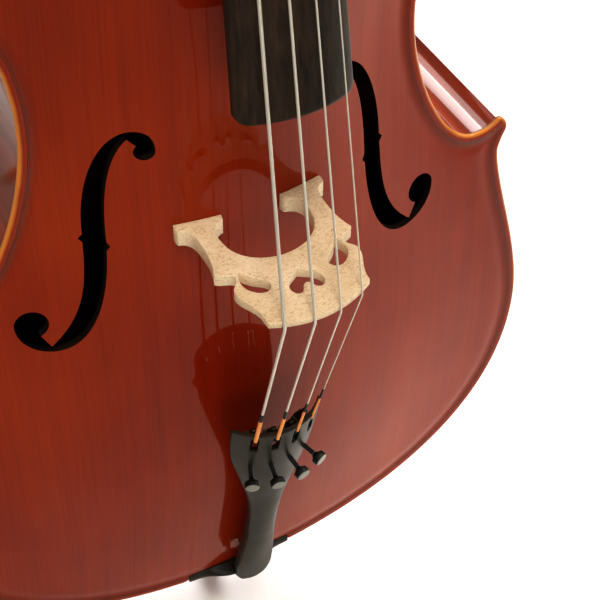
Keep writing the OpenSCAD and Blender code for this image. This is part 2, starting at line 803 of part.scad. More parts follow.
module string_c() string(0, "#b9bab6");
module string_g() string(1, "#b9bab6");
module string_d() string(2, "#c4c4c0");
module string_a() string(3, "#c4c4c0");

module ball_ends() {
    color("#c09a4a") for (i = [0 : 3]) at_tuner(i) translate([0, 5.4, 34.9]) rod_x(1.9, 3);
}

cord_z = -below_bridge - 5;
cord_turn = socket_r + cord_r + 0.6;

module tail_cord() {
    half = concat(
        [[cord_spread, -15.5, tail_top_z - 208], [cord_spread, -14.6, tail_top_z - 218.5],
         [cord_spread + 0.3, -11.4, -below_bridge - 1], [cord_spread + 0.8, -6, cord_z],
         [cord_spread + 1.5, 2, cord_z - 0.2], [cord_spread + 4, 20, cord_z], [12, 40, cord_z]],
        [for (a = [-10 : 20 : 90]) [cord_turn * cos(a), mid_y + cord_turn * sin(a), cord_z]]
    );
    other = [for (k = [len(half) - 2 : -1 : 0]) [-half[k][0], half[k][1], half[k][2]]];
    // the end at the tailpiece lies over to its axis, the loop round the collar does not
    route = [for (p = concat(half, other)) [p[0] + cord_x * smooth((20 - p[1]) / 30), p[1], p[2]]];
    color("#14110f") in_place() tube(route, cord_r);
}

// ---- endpin ----
neck_low = cord_z - cord_r - 1;
collar_r = 16;
rod_fit = 0.05;
screw_z = collar_bottom + 8;
thumb_r = 3;

module endpin_socket() {
    color("#1a1411") in_place() difference() {
        translate([0, mid_y, 0]) union() {
            translate([0, 0, rib_bottom - 1]) cylinder(r = socket_r, h = 46);
            translate([0, 0, rib_bottom - 3.5]) cylinder(r = collar_r - 1, h = 3.5);
            translate([0, 0, neck_low - 1]) cylinder(r = socket_r, h = rib_bottom - neck_low);
            translate([0, 0, collar_bottom]) cylinder(r = collar_r, h = neck_low - collar_bottom);
        }
        translate([0, mid_y, collar_bottom - 1]) cylinder(r = rod_r + rod_fit, h = 90);
        translate([0, mid_y, screw_z]) rotate([0, 90, 0]) cylinder(r = thumb_r + 0.05, h = 40);
    }
}

module endpin_rod() {
    color("#3a3b3e") translate([0, 0, foot_h - 14]) cylinder(r = rod_r, h = rod_len);
}

module endpin_foot() {
    color("#1c1c1c") difference() {
        union() {
            cylinder(r1 = foot_r - 2, r2 = foot_r, h = 2);
            translate([0, 0, 2]) cylinder(r = foot_r, h = foot_h - 5);
            translate([0, 0, foot_h - 3]) cylinder(r1 = foot_r, r2 = foot_r - 1.5, h = 3);
        }
        translate([0, 0, foot_h - 14]) cylinder(r = rod_r, h = 20);
    }
}

module endpin_screw() {
    color("#8f8f8c") in_place() translate([0, mid_y, screw_z]) rotate([0, 90, 0]) {
        translate([0, 0, rod_r + 0.3]) cylinder(r = thumb_r, h = 16);
        translate([0, 0, 19.5]) cylinder(r = 5, h = 4);
        translate([-1.5, -8, 21]) cube([3, 16, 9]);
    }
}

belly();
back_plate();
rib_upper_bass();
rib_upper_treble();
rib_c_bass();
rib_c_treble();
rib_lower_bass();
rib_lower_treble();
neck_block();
end_block();
corner_blocks_upper();
corner_blocks_lower();
linings_belly();
linings_back();
bass_bar();
sound_post();
belly_purfling();
back_purfling();
saddle();
neck();
fingerboard();
nut();
bridge();
tailpiece();
tail_cord();
lever_pins();
tuner_lever_c();
tuner_lever_g();
tuner_lever_d();
tuner_lever_a();
tuner_screw_c();
tuner_screw_g();
tuner_screw_d();
tuner_screw_a();
string_c();
string_g();
string_d();
string_a();
ball_ends();
peg_c();
peg_g();
peg_d();
peg_a();
winding_c();
winding_g();
winding_d();
winding_a();
endpin_socket();
endpin_rod();
endpin_foot();
endpin_screw();
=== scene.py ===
from functools import partial
from math import atan, copysign, cos, exp, pi, radians, sin, sqrt

import bmesh
import bpy
import numpy as np
from mathutils import Matrix, Vector
from mathutils.geometry import delaunay_2d_cdt


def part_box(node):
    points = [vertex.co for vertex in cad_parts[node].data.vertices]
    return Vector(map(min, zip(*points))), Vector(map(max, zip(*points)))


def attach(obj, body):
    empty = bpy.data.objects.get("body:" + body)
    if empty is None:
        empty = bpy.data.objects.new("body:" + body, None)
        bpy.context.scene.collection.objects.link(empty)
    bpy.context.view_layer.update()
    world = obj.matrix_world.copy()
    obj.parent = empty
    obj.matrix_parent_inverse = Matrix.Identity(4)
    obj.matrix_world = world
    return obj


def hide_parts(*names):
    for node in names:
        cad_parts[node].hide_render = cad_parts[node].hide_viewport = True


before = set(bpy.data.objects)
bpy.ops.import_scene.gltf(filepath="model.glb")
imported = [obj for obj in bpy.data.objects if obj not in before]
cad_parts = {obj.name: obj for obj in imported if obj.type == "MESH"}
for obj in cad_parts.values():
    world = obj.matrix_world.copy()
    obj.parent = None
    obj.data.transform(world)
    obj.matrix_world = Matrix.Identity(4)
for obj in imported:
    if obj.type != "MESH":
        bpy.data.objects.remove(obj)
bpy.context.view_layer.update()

# ---------------------------------------------------------------- frame and driving sizes
MM = 0.001
BELLY_LOW, BELLY_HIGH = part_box("belly")
BACK_LOW, BACK_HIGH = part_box("back_plate")
PLATE_T = 4.5
BOTTOM = -361.0
BUTTON_R = 14.5
LIFT = BACK_LOW.z / MM - BOTTOM
TOP = BACK_HIGH.z / MM - LIFT - BUTTON_R
HALF_W = BELLY_HIGH.x / MM
MID_Y = PLATE_T - BELLY_HIGH.y / MM
DEPTH = 2 * MID_Y
BACK_Y = DEPTH - PLATE_T
OVERHANG = 3.2
RIB_T = 1.6


def place(points):
    """Instrument millimetres to row-frame metres."""
    return (np.asarray(points, float) + [0, -MID_Y, LIFT]) * MM


def mix(a, b, t):
    return a + (b - a) * t


def smooth(t):
    t = np.clip(t, 0, 1)
    return t * t * (3 - 2 * t)


def curve(points, n):
    """Points of a cubic curve, without its last one."""
    p = np.asarray(points, float)
    t = np.linspace(0, 1, n, endpoint=False)[:, None]
    s = 1 - t
    return s**3 * p[0] + 3 * s * s * t * p[1] + 3 * s * t * t * p[2] + t**3 * p[3]


def chain(n, start, *parts):
    """Cubic curves end to end; a part is (points as a multiple of n, control, control, end)."""
    out = []
    for times, *rest in parts:
        out.append(curve([start, *rest], times * n))
        start = rest[-1]
    return np.vstack(out)


# ---------------------------------------------------------------- node materials
class Shader:
    """A small writer of node materials around one Principled shader."""

    def __init__(self, name, **values):
        self.material = bpy.data.materials.new(name)
        self.material.use_nodes = True
        self.tree = self.material.node_tree
        self.bsdf = self.tree.nodes["Principled BSDF"]
        for key, value in values.items():
            self.bsdf.inputs[key.replace("_", " ")].default_value = value

    def node(self, kind, inputs=None, **settings):
        made = self.tree.nodes.new(kind)
        for key, value in settings.items():
            setattr(made, key, value)
        for key, value in (inputs or {}).items():
            self.feed(made.inputs[key], value)
        return made

    def feed(self, socket, value):
        if isinstance(value, bpy.types.NodeSocket):
            self.tree.links.new(value, socket)
        else:
            socket.default_value = value

    def coords(self, scale=(1, 1, 1), rotation=(0, 0, 0)):
        """Object coordinates (metres in the row frame), stretched."""
        source = self.node("ShaderNodeTexCoord").outputs["Object"]
        made = self.node("ShaderNodeMapping", {"Vector": source, "Scale": scale, "Rotation": rotation})
        return made.outputs["Vector"]

    def waves(self, stretch, scale, distortion, detail):
        inputs = {"Vector": self.coords(stretch), "Scale": scale, "Distortion": distortion, "Detail": detail}
        return self.node("ShaderNodeTexWave", inputs, bands_direction="Z").outputs["Fac"]

    def darken(self, colour, amount, fac, stops):
        """The colour multiplied by a grey ramp of fac, mixed in by amount."""
        return self.blend(amount, colour, self.grey(fac, stops), "MULTIPLY")

    def noise(self, scale, stretch=(1, 1, 1), detail=3.0, rough=0.5, distortion=0.0):
        inputs = {"Vector": self.coords(stretch), "Scale": scale, "Detail": detail,
                  "Roughness": rough, "Distortion": distortion}
        return self.node("ShaderNodeTexNoise", inputs).outputs["Fac"]

    def attribute(self, name):
        return self.node("ShaderNodeAttribute", attribute_name=name).outputs["Fac"]

    def math(self, operation, a, b=0.5):
        made = self.node("ShaderNodeMath", operation=operation)
        self.feed(made.inputs[0], a)
        self.feed(made.inputs[1], b)
        return made.outputs[0]

    def ramp(self, fac, stops):
        made = self.node("ShaderNodeValToRGB", {"Fac": fac})
        elements = made.color_ramp.elements
        while len(elements) < len(stops):
            elements.new(0.5)
        for element, (place_at, colour) in zip(elements, stops):
            element.position = place_at
            element.color = (*colour, 1)
        return made.outputs["Color"]

    def grey(self, fac, stops):
        return self.ramp(fac, [(at, (v, v, v)) for at, v in stops])

    def blend(self, fac, a, b, kind="MIX"):
        made = self.node("ShaderNodeMix", data_type="RGBA", blend_type=kind)
        for key, value in ((0, fac), (6, a), (7, b)):
            if isinstance(value, tuple) and len(value) == 3:
                value = (*value, 1)
            self.feed(made.inputs[key], value)
        return made.outputs[2]

    def bump(self, height, strength, distance):
        inputs = {"Height": height, "Strength": strength, "Distance": distance}
        return self.node("ShaderNodeBump", inputs).outputs["Normal"]

    def use(self, **sockets):
        for key, value in sockets.items():
            self.feed(self.bsdf.inputs[key.replace("_", " ")], value)
        return self.material


def varnish_on_spruce():
    """Red-brown varnish over straight spruce grain, rubbed golden along the edge, with painted shade in the
    channel.
    """
    s = Shader("belly_varnish", Roughness=0.4, Specular_IOR_Level=0.02, Coat_Weight=0.6, Coat_Roughness=0.02,
               Coat_IOR=1.5)
    lines = s.noise(1, (640, 0, 5), 2, 0.6, 0.1)
    bands = s.noise(1, (105, 0, 2.5), 2, 0.5)
    fibre = s.noise(1, (900, 120, 16), 4, 0.6)
    cloud = s.noise(7, (1, 1, 0.6), 3, 0.55)
    ground = s.ramp(cloud, [(0.3, (0.235, 0.022, 0.0040)), (0.55, (0.30, 0.034, 0.0055)),
                            (0.75, (0.36, 0.050, 0.0075))])
    ground = s.darken(ground, 0.3, lines, [(0.36, 0.72), (0.6, 1.0)])
    ground = s.darken(ground, 0.3, bands, [(0.36, 0.8), (0.6, 1.0)])
    ground = s.darken(ground, 0.3, fibre, [(0.3, 0.75), (0.62, 1.0)])
    edge = s.attribute("edge_mm")
    wear = s.math("ADD", edge, s.math("MULTIPLY", s.noise(60, (1, 1, 1), 2), 1.3))
    gold = s.grey(s.math("DIVIDE", wear, 4.0), [(0.28, 1.0), (0.72, 0.0)])
    ground = s.blend(gold, ground, (0.62, 0.24, 0.055))
    # painted shade: a darker band over the channel, from about 5 to 12 mm inside the edge, where the arching
    # dips
    rim = s.grey(s.math("DIVIDE", edge, 16.0), [(0.30, 0.0), (0.44, 1.0), (0.75, 0.0)])
    ground = s.blend(s.math("MULTIPLY", rim, 0.35), ground, (0.085, 0.014, 0.005))
    relief = s.bump(lines, 0.05, 0.0002)
    return s.use(Base_Color=ground, Normal=relief)


def varnish_on_maple(name, along):
    """Red-brown varnish over flamed maple; along is the direction that the flame stripes cross."""
    s = Shader(name, Roughness=0.4, Specular_IOR_Level=0.05, Coat_Weight=0.9, Coat_Roughness=0.1,
               Coat_IOR=1.5)
    stretch = {"x": (1, 0.06, 1), "z": (0.09, 0.2, 1)}[along]
    flame = s.noise(105, stretch, 1.5, 0.5, 0.5)
    fibre = s.noise(1, {"x": (90, 60, 700), "z": (700, 500, 30)}[along], 4, 0.6)
    cloud = s.noise(6, (1, 1, 1), 3)
    ground = s.ramp(cloud, [(0.3, (0.22, 0.022, 0.004)), (0.72, (0.36, 0.05, 0.009))])
    ground = s.darken(ground, 0.75, flame, [(0.38, 0.5), (0.6, 1.0)])
    ground = s.darken(ground, 0.35, fibre, [(0.35, 0.7), (0.6, 1.0)])
    edge = s.attribute("edge_mm")
    gold = s.grey(s.math("DIVIDE", edge, 4.0), [(0.0, 1.0), (0.6, 0.0)])
    ground = s.blend(gold, ground, (0.55, 0.2, 0.045))
    return s.use(Base_Color=ground, Normal=s.bump(fibre, 0.04, 0.0002))


def bare_wood(name, dark, light, rough=0.6):
    s = Shader(name, Roughness=rough)
    fibre = s.noise(1, (700, 500, 22), 4, 0.6)
    cloud = s.noise(18, (1, 1, 0.3), 2)
    ground = s.ramp(s.math("ADD", s.math("MULTIPLY", fibre, 0.6), s.math("MULTIPLY", cloud, 0.4)),
                    [(0.32, dark), (0.66, light)])
    return s.use(Base_Color=ground, Normal=s.bump(fibre, 0.12, 0.0003))


def bridge_maple():
    """Pale maple cut on the quarter: its rays show as a mass of fine wriggling flecks."""
    s = Shader("bridge_maple", Roughness=0.5, Specular_IOR_Level=0.3)
    wander = s.noise(1, (420, 560, 700), 1.5, 0.5, 0.6)
    squiggles = s.grey(s.math("ABSOLUTE", s.math("SUBTRACT", wander, 0.5)), [(0.0, 1.0), (0.05, 0.0)])
    patches = s.grey(s.noise(85, (1, 1, 1), 2), [(0.36, 0.25), (0.58, 1.0)])
    flecks = s.math("MULTIPLY", squiggles, patches)
    pores = s.noise(1, (330, 900, 1500), 2, 0.5)
    cloud = s.noise(40, (1, 1, 1), 3)
    ground = s.ramp(cloud, [(0.3, (0.70, 0.55, 0.37)), (0.7, (0.82, 0.68, 0.50))])
    ground = s.blend(0.6, ground, s.ramp(pores, [(0.30, (0.66, 0.5, 0.34)), (0.43, (1, 1, 1))]), "MULTIPLY")
    ground = s.blend(s.math("MULTIPLY", flecks, 0.6), ground, (0.42, 0.24, 0.11))
    return s.use(Base_Color=ground, Normal=s.bump(s.math("SUBTRACT", pores, flecks), 0.16, 0.0002))


def ebony(name, brown=0.35, rough=0.38, coat=0.0):
    """Near-black hardwood with brown streaks."""
    s = Shader(name, Roughness=rough, Specular_IOR_Level=0.28, Coat_Weight=coat, Coat_Roughness=0.2)
    streak = s.noise(1, (420, 320, 20), 4, 0.62)
    cloud = s.noise(22, (1, 1, 0.35), 3, 0.6)
    mixed = s.math("ADD", s.math("MULTIPLY", streak, 0.5), s.math("MULTIPLY", cloud, 0.5))
    light = (0.055 * brown + 0.008, 0.031 * brown + 0.006, 0.017 * brown + 0.005)
    tone = s.ramp(mixed, [(0.38, (0.009, 0.007, 0.006)), (0.68, light)])
    return s.use(Base_Color=tone, Normal=s.bump(streak, 0.12, 0.0002))


def plastic(name, colour, rough=0.42, speck=0.12):
    s = Shader(name, Roughness=rough, Specular_IOR_Level=0.3)
    fine = s.noise(1600, (1, 1, 1), 2)
    wide = s.noise(35, (1, 1, 1), 2)
    ground = s.blend(s.grey(wide, [(0.3, 0.0), (0.7, speck)]), colour, tuple(2.2 * c for c in colour))
    return s.use(Base_Color=ground, Normal=s.bump(fine, 0.08, 0.0002),
                 Roughness=s.grey(wide, [(0.3, rough - 0.06), (0.7, rough + 0.08)]))


def metal(name, colour, rough=0.28, line=(900, 900, 60)):
    s = Shader(name, Metallic=1.0)
    scratch = s.noise(1, line, 3, 0.6)
    tone = s.blend(s.grey(scratch, [(0.3, 0.0), (0.7, 0.35)]), colour, tuple(0.6 * c for c in colour))
    return s.use(Base_Color=tone, Roughness=s.grey(scratch, [(0.3, rough - 0.06), (0.7, rough + 0.12)]))


def wound_string():
    """Flat steel tape wound round a core: fine rings across the string."""
    s = Shader("string_wire", Metallic=0.85)
    rings = s.waves((0, 0, 1), 900, 0.4, 2)
    tone = s.blend(s.grey(rings, [(0.0, 0.5), (0.4, 0.0)]), (0.74, 0.70, 0.62), (0.4, 0.38, 0.33))
    return s.use(Base_Color=tone, Roughness=s.grey(rings, [(0.0, 0.42), (1.0, 0.3)]),
                 Normal=s.bump(rings, 0.25, 0.0001))


def silk(name, colour, dark):
    """Thread wound round the tail end of a string."""
    s = Shader(name, Roughness=0.6)
    threads = s.waves((0.3, 0, 1), 130, 3, 1)
    tone = s.blend(s.grey(threads, [(0.05, 0.75), (0.5, 0.0)]), colour, dark)
    return s.use(Base_Color=tone, Normal=s.bump(threads, 0.5, 0.0002))


BELLY_VARNISH = varnish_on_spruce()
BACK_VARNISH = varnish_on_maple("back_varnish", "z")
RIB_VARNISH = varnish_on_maple("rib_varnish", "x")
NECK_WOOD = varnish_on_maple("neck_varnish", "z")
INNER_WOOD = bare_wood("inner_wood", (0.13, 0.065, 0.03), (0.24, 0.14, 0.07))
CUT_EDGE = bare_wood("f_hole_edge", (0.006, 0.003, 0.002), (0.022, 0.008, 0.004), 0.6)
BRIDGE_WOOD = bridge_maple()
BOARD_WOOD = ebony("fingerboard_wood", 1.0, 0.42)
EBONY = ebony("fitting_ebony", 0.4, 0.33)
PURFLING_DARK = bare_wood("purfling_black", (0.010, 0.004, 0.003), (0.03, 0.01, 0.006), 0.3)
TAIL_PLASTIC = plastic("tail_plastic", (0.026, 0.0225, 0.016), 0.42, 0.3)
TUNER_BLACK = plastic("tuner_black", (0.011, 0.011, 0.011), 0.3, 0.05)
KNOB_TOP = metal("knob_top", (0.34, 0.34, 0.31), 0.42, (500, 500, 500))
STRING_WIRE = wound_string()
SILK_ORANGE = silk("silk_orange", (1.0, 0.46, 0.14), (0.62, 0.09, 0.01))
SILK_BLACK = silk("silk_black", (0.016, 0.014, 0.014), (0.006, 0.006, 0.006))
BALL = metal("ball_dark", (0.06, 0.05, 0.04), 0.4)
STEEL = metal("rod_steel", (0.5, 0.51, 0.53), 0.25)
RUBBER = plastic("foot_rubber", (0.014, 0.014, 0.014), 0.7, 0.1)


# ---------------------------------------------------------------- mesh helpers
def link(name, data):
    obj = bpy.data.objects.new(name, data)
    bpy.context.scene.collection.objects.link(obj)
    return obj


def shade(mesh, sharp):
    """Smooth shading, but for edges sharper than this many degrees."""
    mesh.polygons.foreach_set("use_smooth", [True] * len(mesh.polygons))
    mesh.set_sharp_from_angle(angle=radians(sharp))


def mark(mesh, values):
    """Store each point's distance to the worn edge, which the varnish reads."""
    attribute = mesh.attributes.get("edge_mm") or mesh.attributes.new("edge_mm", "FLOAT", "POINT")
    attribute.data.foreach_set("value", np.asarray(values, np.float32))


def mesh_object(name, verts, faces, materials, sharp=35.0):
    """A mesh from instrument millimetres, with its faces turned outwards."""
    mesh = bpy.data.meshes.new(name)
    mesh.from_pydata(place(verts).tolist(), [], [list(f) for f in faces])
    for material in materials:
        mesh.materials.append(material)
    mesh.validate()
    made = bmesh.new()
    made.from_mesh(mesh)
    bmesh.ops.recalc_face_normals(made, faces=made.faces)
    made.to_mesh(mesh)
    made.free()
    shade(mesh, sharp)
    return link(name, mesh)


def apply_modifiers(obj):
    """Bake the object's modifiers into its mesh."""
    bpy.context.view_layer.update()
    graph = bpy.context.evaluated_depsgraph_get()
    obj.data = bpy.data.meshes.new_from_object(obj.evaluated_get(graph))
    obj.modifiers.clear()
    return obj


def bevel(obj, width, segments=2, angle=40.0):
    made = obj.modifiers.new("bevel", "BEVEL")
    made.width, made.segments = width * MM, segments
    made.limit_method, made.angle_limit = "ANGLE", radians(angle)
    shade(apply_modifiers(obj).data, 48)
    return obj


def carve(obj, cutters):
    """Cut away the cutter objects, which are then deleted."""
    for cutter in cutters:
        made = obj.modifiers.new("cut", "BOOLEAN")
        made.operation, made.solver, made.object = "DIFFERENCE", "EXACT", cutter
    apply_modifiers(obj)
    for cutter in cutters:
        bpy.data.objects.remove(cutter)
    return obj


def join(name, parts):
    """One object from several, keeping their materials."""
    made = bmesh.new()
    materials = []
    for part in parts:
        index = {}
        for k, material in enumerate(part.data.materials):
            if material not in materials:
                materials.append(material)
            index[k] = materials.index(material)
        start = len(made.faces)
        made.from_mesh(part.data)
        made.faces.ensure_lookup_table()
        for face in made.faces[start:]:
            face.material_index = index.get(face.material_index, 0)
    mesh = bpy.data.meshes.new(name)
    made.to_mesh(mesh)
    made.free()
    for material in materials:
        mesh.materials.append(material)
    for part in parts:
        bpy.data.objects.remove(part)
    return link(name, mesh)


def finish_piece(obj, body, slot, *nodes):
    """The piece rides on its body and stands for its CAD nodes; slot is not used."""
    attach(obj, body)
    if nodes:
        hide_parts(*nodes)
    return obj


def loft(sections, closed=True, caps=True):
    """Vertices and faces of a skin through equally long sections."""
    sections = np.asarray(sections, float)
    m, n = sections.shape[:2]
    faces = []
    for k in range(m - 1):
        for i in range(n if closed else n - 1):
            j = (i + 1) % n
            faces.append((k * n + i, k * n + j, (k + 1) * n + j, (k + 1) * n + i))
    if caps:
        faces.append(tuple(range(n - 1, -1, -1)))
        faces.append(tuple((m - 1) * n + i for i in range(n)))
    return sections.reshape(-1, 3), faces


def circle(n):
    """n even angles round a circle."""
    return np.linspace(0, 2 * pi, n, endpoint=False)


def tube_sections(points, radius, sides=14):
    """Circles along a route, kept from twisting; radius is a number or one per point."""
    p = np.asarray(points, float)
    radii = np.broadcast_to(radius, len(p))
    tangents = np.gradient(p, axis=0)
    tangents /= np.linalg.norm(tangents, axis=1)[:, None]
    side = np.cross(tangents[0], [0.0, 1.0, 0.2])
    rings = []
    angles = circle(sides)
    for centre, tangent, r in zip(p, tangents, radii):
        side = side - tangent * (side @ tangent)
        side /= np.linalg.norm(side)
        up = np.cross(tangent, side)
        rings.append(centre + r * (np.cos(angles)[:, None] * side + np.sin(angles)[:, None] * up))
    return np.array(rings)


def tube(name, points, radius, material, sides=14):
    return mesh_object(name, *loft(tube_sections(points, radius, sides)), [material], 60)


def lathe(name, profile, spot, material, sides=40):
    """A turned piece from (radius, distance along the axis); spot maps axis space to the instrument."""
    rings = [[spot(r * cos(a), r * sin(a), h) for a in circle(sides)] for r, h in profile]
    return mesh_object(name, *loft(rings), [material], 32)


def chained(points, steps):
    """A smooth route through points (Catmull-Rom)."""
    p = np.asarray(points, float)
    p = np.vstack([2 * p[0] - p[1], p, 2 * p[-1] - p[-2]])
    out = []
    for k in range(1, len(p) - 2):
        for t in np.linspace(0, 1, steps, endpoint=False):
            a, b, c, d = p[k - 1], p[k], p[k + 1], p[k + 2]
            out.append(0.5 * (2 * b + (c - a) * t + (2 * a - 5 * b + 4 * c - d) * t * t
                              + (3 * b - a - 3 * c + d) * t**3))
    out.append(p[-2])
    return np.array(out)


# ---------------------------------------------------------------- outline and arching
WAIST = 115.7
UPPER = 170.0
FINENESS = 9


def lower_chain(n):
    return chain(
        n, [0, BOTTOM], (10, [115, BOTTOM], [HALF_W, -300], [HALF_W, -187]),
        (6, [HALF_W, -140], [187, -78], [184.4, -48]), (2, [184.1, -42], [187, -36], [188.6, -32]))


def lower_corner(n):
    return chain(
        n, [188.6, -32], (1, [189.4, -28.6], [188.4, -26.2], [186, -23.6]),
        (1, [184, -21.4], [182.6, -20.6], [180.6, -22.6]))


def c_chain(n):
    return chain(
        n, [180.6, -22.6], (2, [176.5, -26.6], [171, -28.2], [165, -27.8]),
        (7, [142, -27], [WAIST, 35], [WAIST, 79]), (5, [WAIST, 108], [122, 141], [138, 146]),
        (1, [143, 147.5], [147, 145.4], [150.4, 141.6]))


def upper_corner(n):
    return chain(
        n, [150.4, 141.6], (1, [152.6, 139.2], [154.2, 140.6], [155.6, 142]),
        (1, [157.8, 144.2], [158.4, 146.4], [157.5, 149]))


def upper_chain(n):
    return np.vstack([chain(
        n, [157.5, 149], (2, [155, 155], [153.5, 160], [153.5, 166]),
        (4, [153.5, 190], [UPPER, 215], [UPPER, 250]), (10, [UPPER, 330], [95, TOP], [15, TOP])),
        [[15, TOP]]])


def half_outline(n):
    return np.vstack([lower_chain(n), lower_corner(n), c_chain(n), upper_corner(n), upper_chain(n)])


def flip(points):
    """The other half, in running order."""
    return (points * [-1, 1])[::-1]


def full_outline(button=False):
    half = half_outline(FINENESS)
    if button:
        centre = np.array([0.0, TOP])
        angles = np.linspace(0.06, pi / 2, 3 * FINENESS)
        arc = centre + BUTTON_R * np.stack([np.cos(angles), np.sin(angles)], 1)
        half = np.vstack([half[:-1], arc])
    other = flip(half)
    return np.vstack([half, other[1:] if button else other])[:-1]


def inward(points, distance, closed=False):
    """The line moved to its left, which is into the body."""
    if closed:
        ahead, behind = np.roll(points, -1, 0), np.roll(points, 1, 0)
    else:
        ahead, behind = np.vstack([points[1:], points[-1:]]), np.vstack([points[:1], points[:-1]])
    t = ahead - behind
    t = t / np.linalg.norm(t, axis=1)[:, None]
    return points + distance * np.stack([-t[:, 1], t[:, 0]], 1)


def gap_to(points, line):
    """Each point's distance to a closed line."""
    a, b = line, np.roll(line, -1, 0)
    ab = b - a
    length = np.maximum((ab**2).sum(1), 1e-12)
    out = np.empty(len(points))
    for start in range(0, len(points), 400):
        p = points[start:start + 400, None, :]
        t = np.clip(((p - a) * ab).sum(2) / length, 0, 1)
        out[start:start + 400] = np.sqrt((((a + t[..., None] * ab) - p) ** 2).sum(2).min(1))
    return out


def inside(points, line):
    a, b = line, np.roll(line, -1, 0)
    out = np.zeros(len(points), bool)
    for start in range(0, len(points), 1000):
        p = points[start:start + 1000]
        x, z = p[:, :1], p[:, 1:]
        with np.errstate(divide="ignore", invalid="ignore"):
            crosses = ((a[:, 1] > z) != (b[:, 1] > z)) & (
                x < (b[:, 0] - a[:, 0]) * (z - a[:, 1]) / (b[:, 1] - a[:, 1]) + a[:, 0])
        out[start:start + 1000] = crosses.sum(1) % 2 == 1
    return out


def round_end(t):
    return np.maximum(0, 1 - np.abs(t) ** 2.1) ** 0.476


def arch_width(z):
    return np.select(
        [z < -190, z < 79, z < 250],
        [206 * round_end((z + 190) / 171), mix(206, 109, smooth((z + 190) / 269)),
         mix(109, 163, smooth((z - 79) / 171))],
        163 * round_end((z - 250) / 147))


def arch(x, z):
    s = np.clip(np.abs(z - 18) / 379, 0, 1)
    t = np.clip(np.abs(x) / np.maximum(1, arch_width(z)), 0, 1)
    return (1 - s**4) ** 1.5 * (1 - t * t) ** 1.6


BELLY_RISE = (BELLY_HIGH.y - BELLY_LOW.y) / MM - PLATE_T
BACK_RISE = (BACK_HIGH.y - BACK_LOW.y) / MM - PLATE_T


def rounding(gap):
    """How far a plate's half-round edge falls back at this distance from the outline."""
    round_r = PLATE_T / 2
    lip = np.clip(round_r - gap, 0, round_r)
    return round_r - np.sqrt(np.maximum(0, round_r**2 - lip**2))


def plate_face(x, z, gap, rise):
    """Outer face of a plate: its arch, a shallow channel inside the edge, and the rounded edge."""
    channel = 0.8 * np.exp(-((gap - 9.5) / 4.2) ** 2) - 0.25 * np.exp(-((gap - 3.4) / 1.4) ** 2)
    return -rise * arch(x, z) + rounding(gap) + channel


# ---------------------------------------------------------------- f-holes
def f_hole():
    """Outline of the treble f-hole, running clockwise as seen from the front."""
    def eye(centre, radius, start, end, n):
        a = np.radians(np.linspace(start, end, n))
        return np.array(centre) + radius * np.stack([np.cos(a), np.sin(a)], 1)
    return np.vstack([
        chain(2, [50.1, 57], (7, [50.1, 66], [55, 70.5], [62, 70.5]),
              (17, [78, 70.5], [90.5, 40], [91, 7.5])),
        [[91, 7.5], [93.5, 4.8], [91.4, 2.3]],
        chain(2, [91.4, 2.3], (14, [92.5, -30], [97, -50], [115.9, -67.3])),
        [[115.9, -67.3], [118.6, -62.6]],
        eye([124.8, -49.7], 9.4, 246, -3, 34),
        chain(2, [134, -50], (7, [134, -62], [124, -71], [112.7, -71.3]),
              (17, [92, -71.5], [82, -40], [79.8, -6])),
        [[79.8, -6], [77.7, -3.3], [79.4, 0]],
        chain(2, [79.4, 0], (14, [79, 25], [76, 54], [63.7, 65.8])),
        [[63.7, 65.8], [61.0, 62.8]],
        eye([55.6, 57], 5.5, 48, -180, 26)[:-1]])


# ---------------------------------------------------------------- plates
def scatter(outline, holes, keep_off):
    """Points inside the outline: close together near edges, wider apart in the middle."""
    def rows(step):
        x = np.arange(-HALF_W, HALF_W, step)
        z = np.arange(BOTTOM, TOP + 16, step * 0.87)
        grid = np.array([[u + (step / 2 if k % 2 else 0), w] for k, w in enumerate(z) for u in x])
        grid = grid[inside(grid, outline)]
        return grid, gap_to(grid, outline)
    fine, near = rows(2.4)
    wide, far = rows(5.2)
    points = np.vstack([fine[(near > 3.2) & (near < 17)], wide[far >= 17]])
    for hole in holes:
        gap = gap_to(points, hole)
        points = points[(gap > keep_off) & ~inside(points, hole)]
    return points


def fill_shape(groups, loops):
    """Triangles between groups of points, and the edges at their border.

    loops are the places in groups of the outline, then of the holes in it.
    """
    starts = np.cumsum([0] + [len(group) for group in groups])
    edges = []
    for k in loops:
        n = len(groups[k])
        edges += [(starts[k] + i, starts[k] + (i + 1) % n) for i in range(n)]
    found = delaunay_2d_cdt([Vector(p) for p in np.vstack(groups)], edges, [], 0, 1e-4)
    flat = np.array([list(p) for p in found[0]])
    triangles = np.array([f for f in found[2] if len(f) == 3])
    middle = flat[triangles].mean(1)
    keep = inside(middle, groups[loops[0]])
    for k in loops[1:]:
        keep &= ~inside(middle, groups[k])
    triangles = triangles[keep]
    count = {}
    for a, b, c in triangles:
        for e in ((a, b), (b, c), (c, a)):
            count[frozenset(e)] = count.get(frozenset(e), 0) + 1
    return flat, triangles, [tuple(e) for e, k in count.items() if k == 1]


def thick_faces(n, triangles, walls):
    """Faces of a body with n points in front, n behind in the same order, and walls between them."""
    faces = [tuple(t) for t in triangles] + [tuple(t + n)[::-1] for t in triangles]
    return faces + [(a, b, b + n, a + n) for a, b in walls]


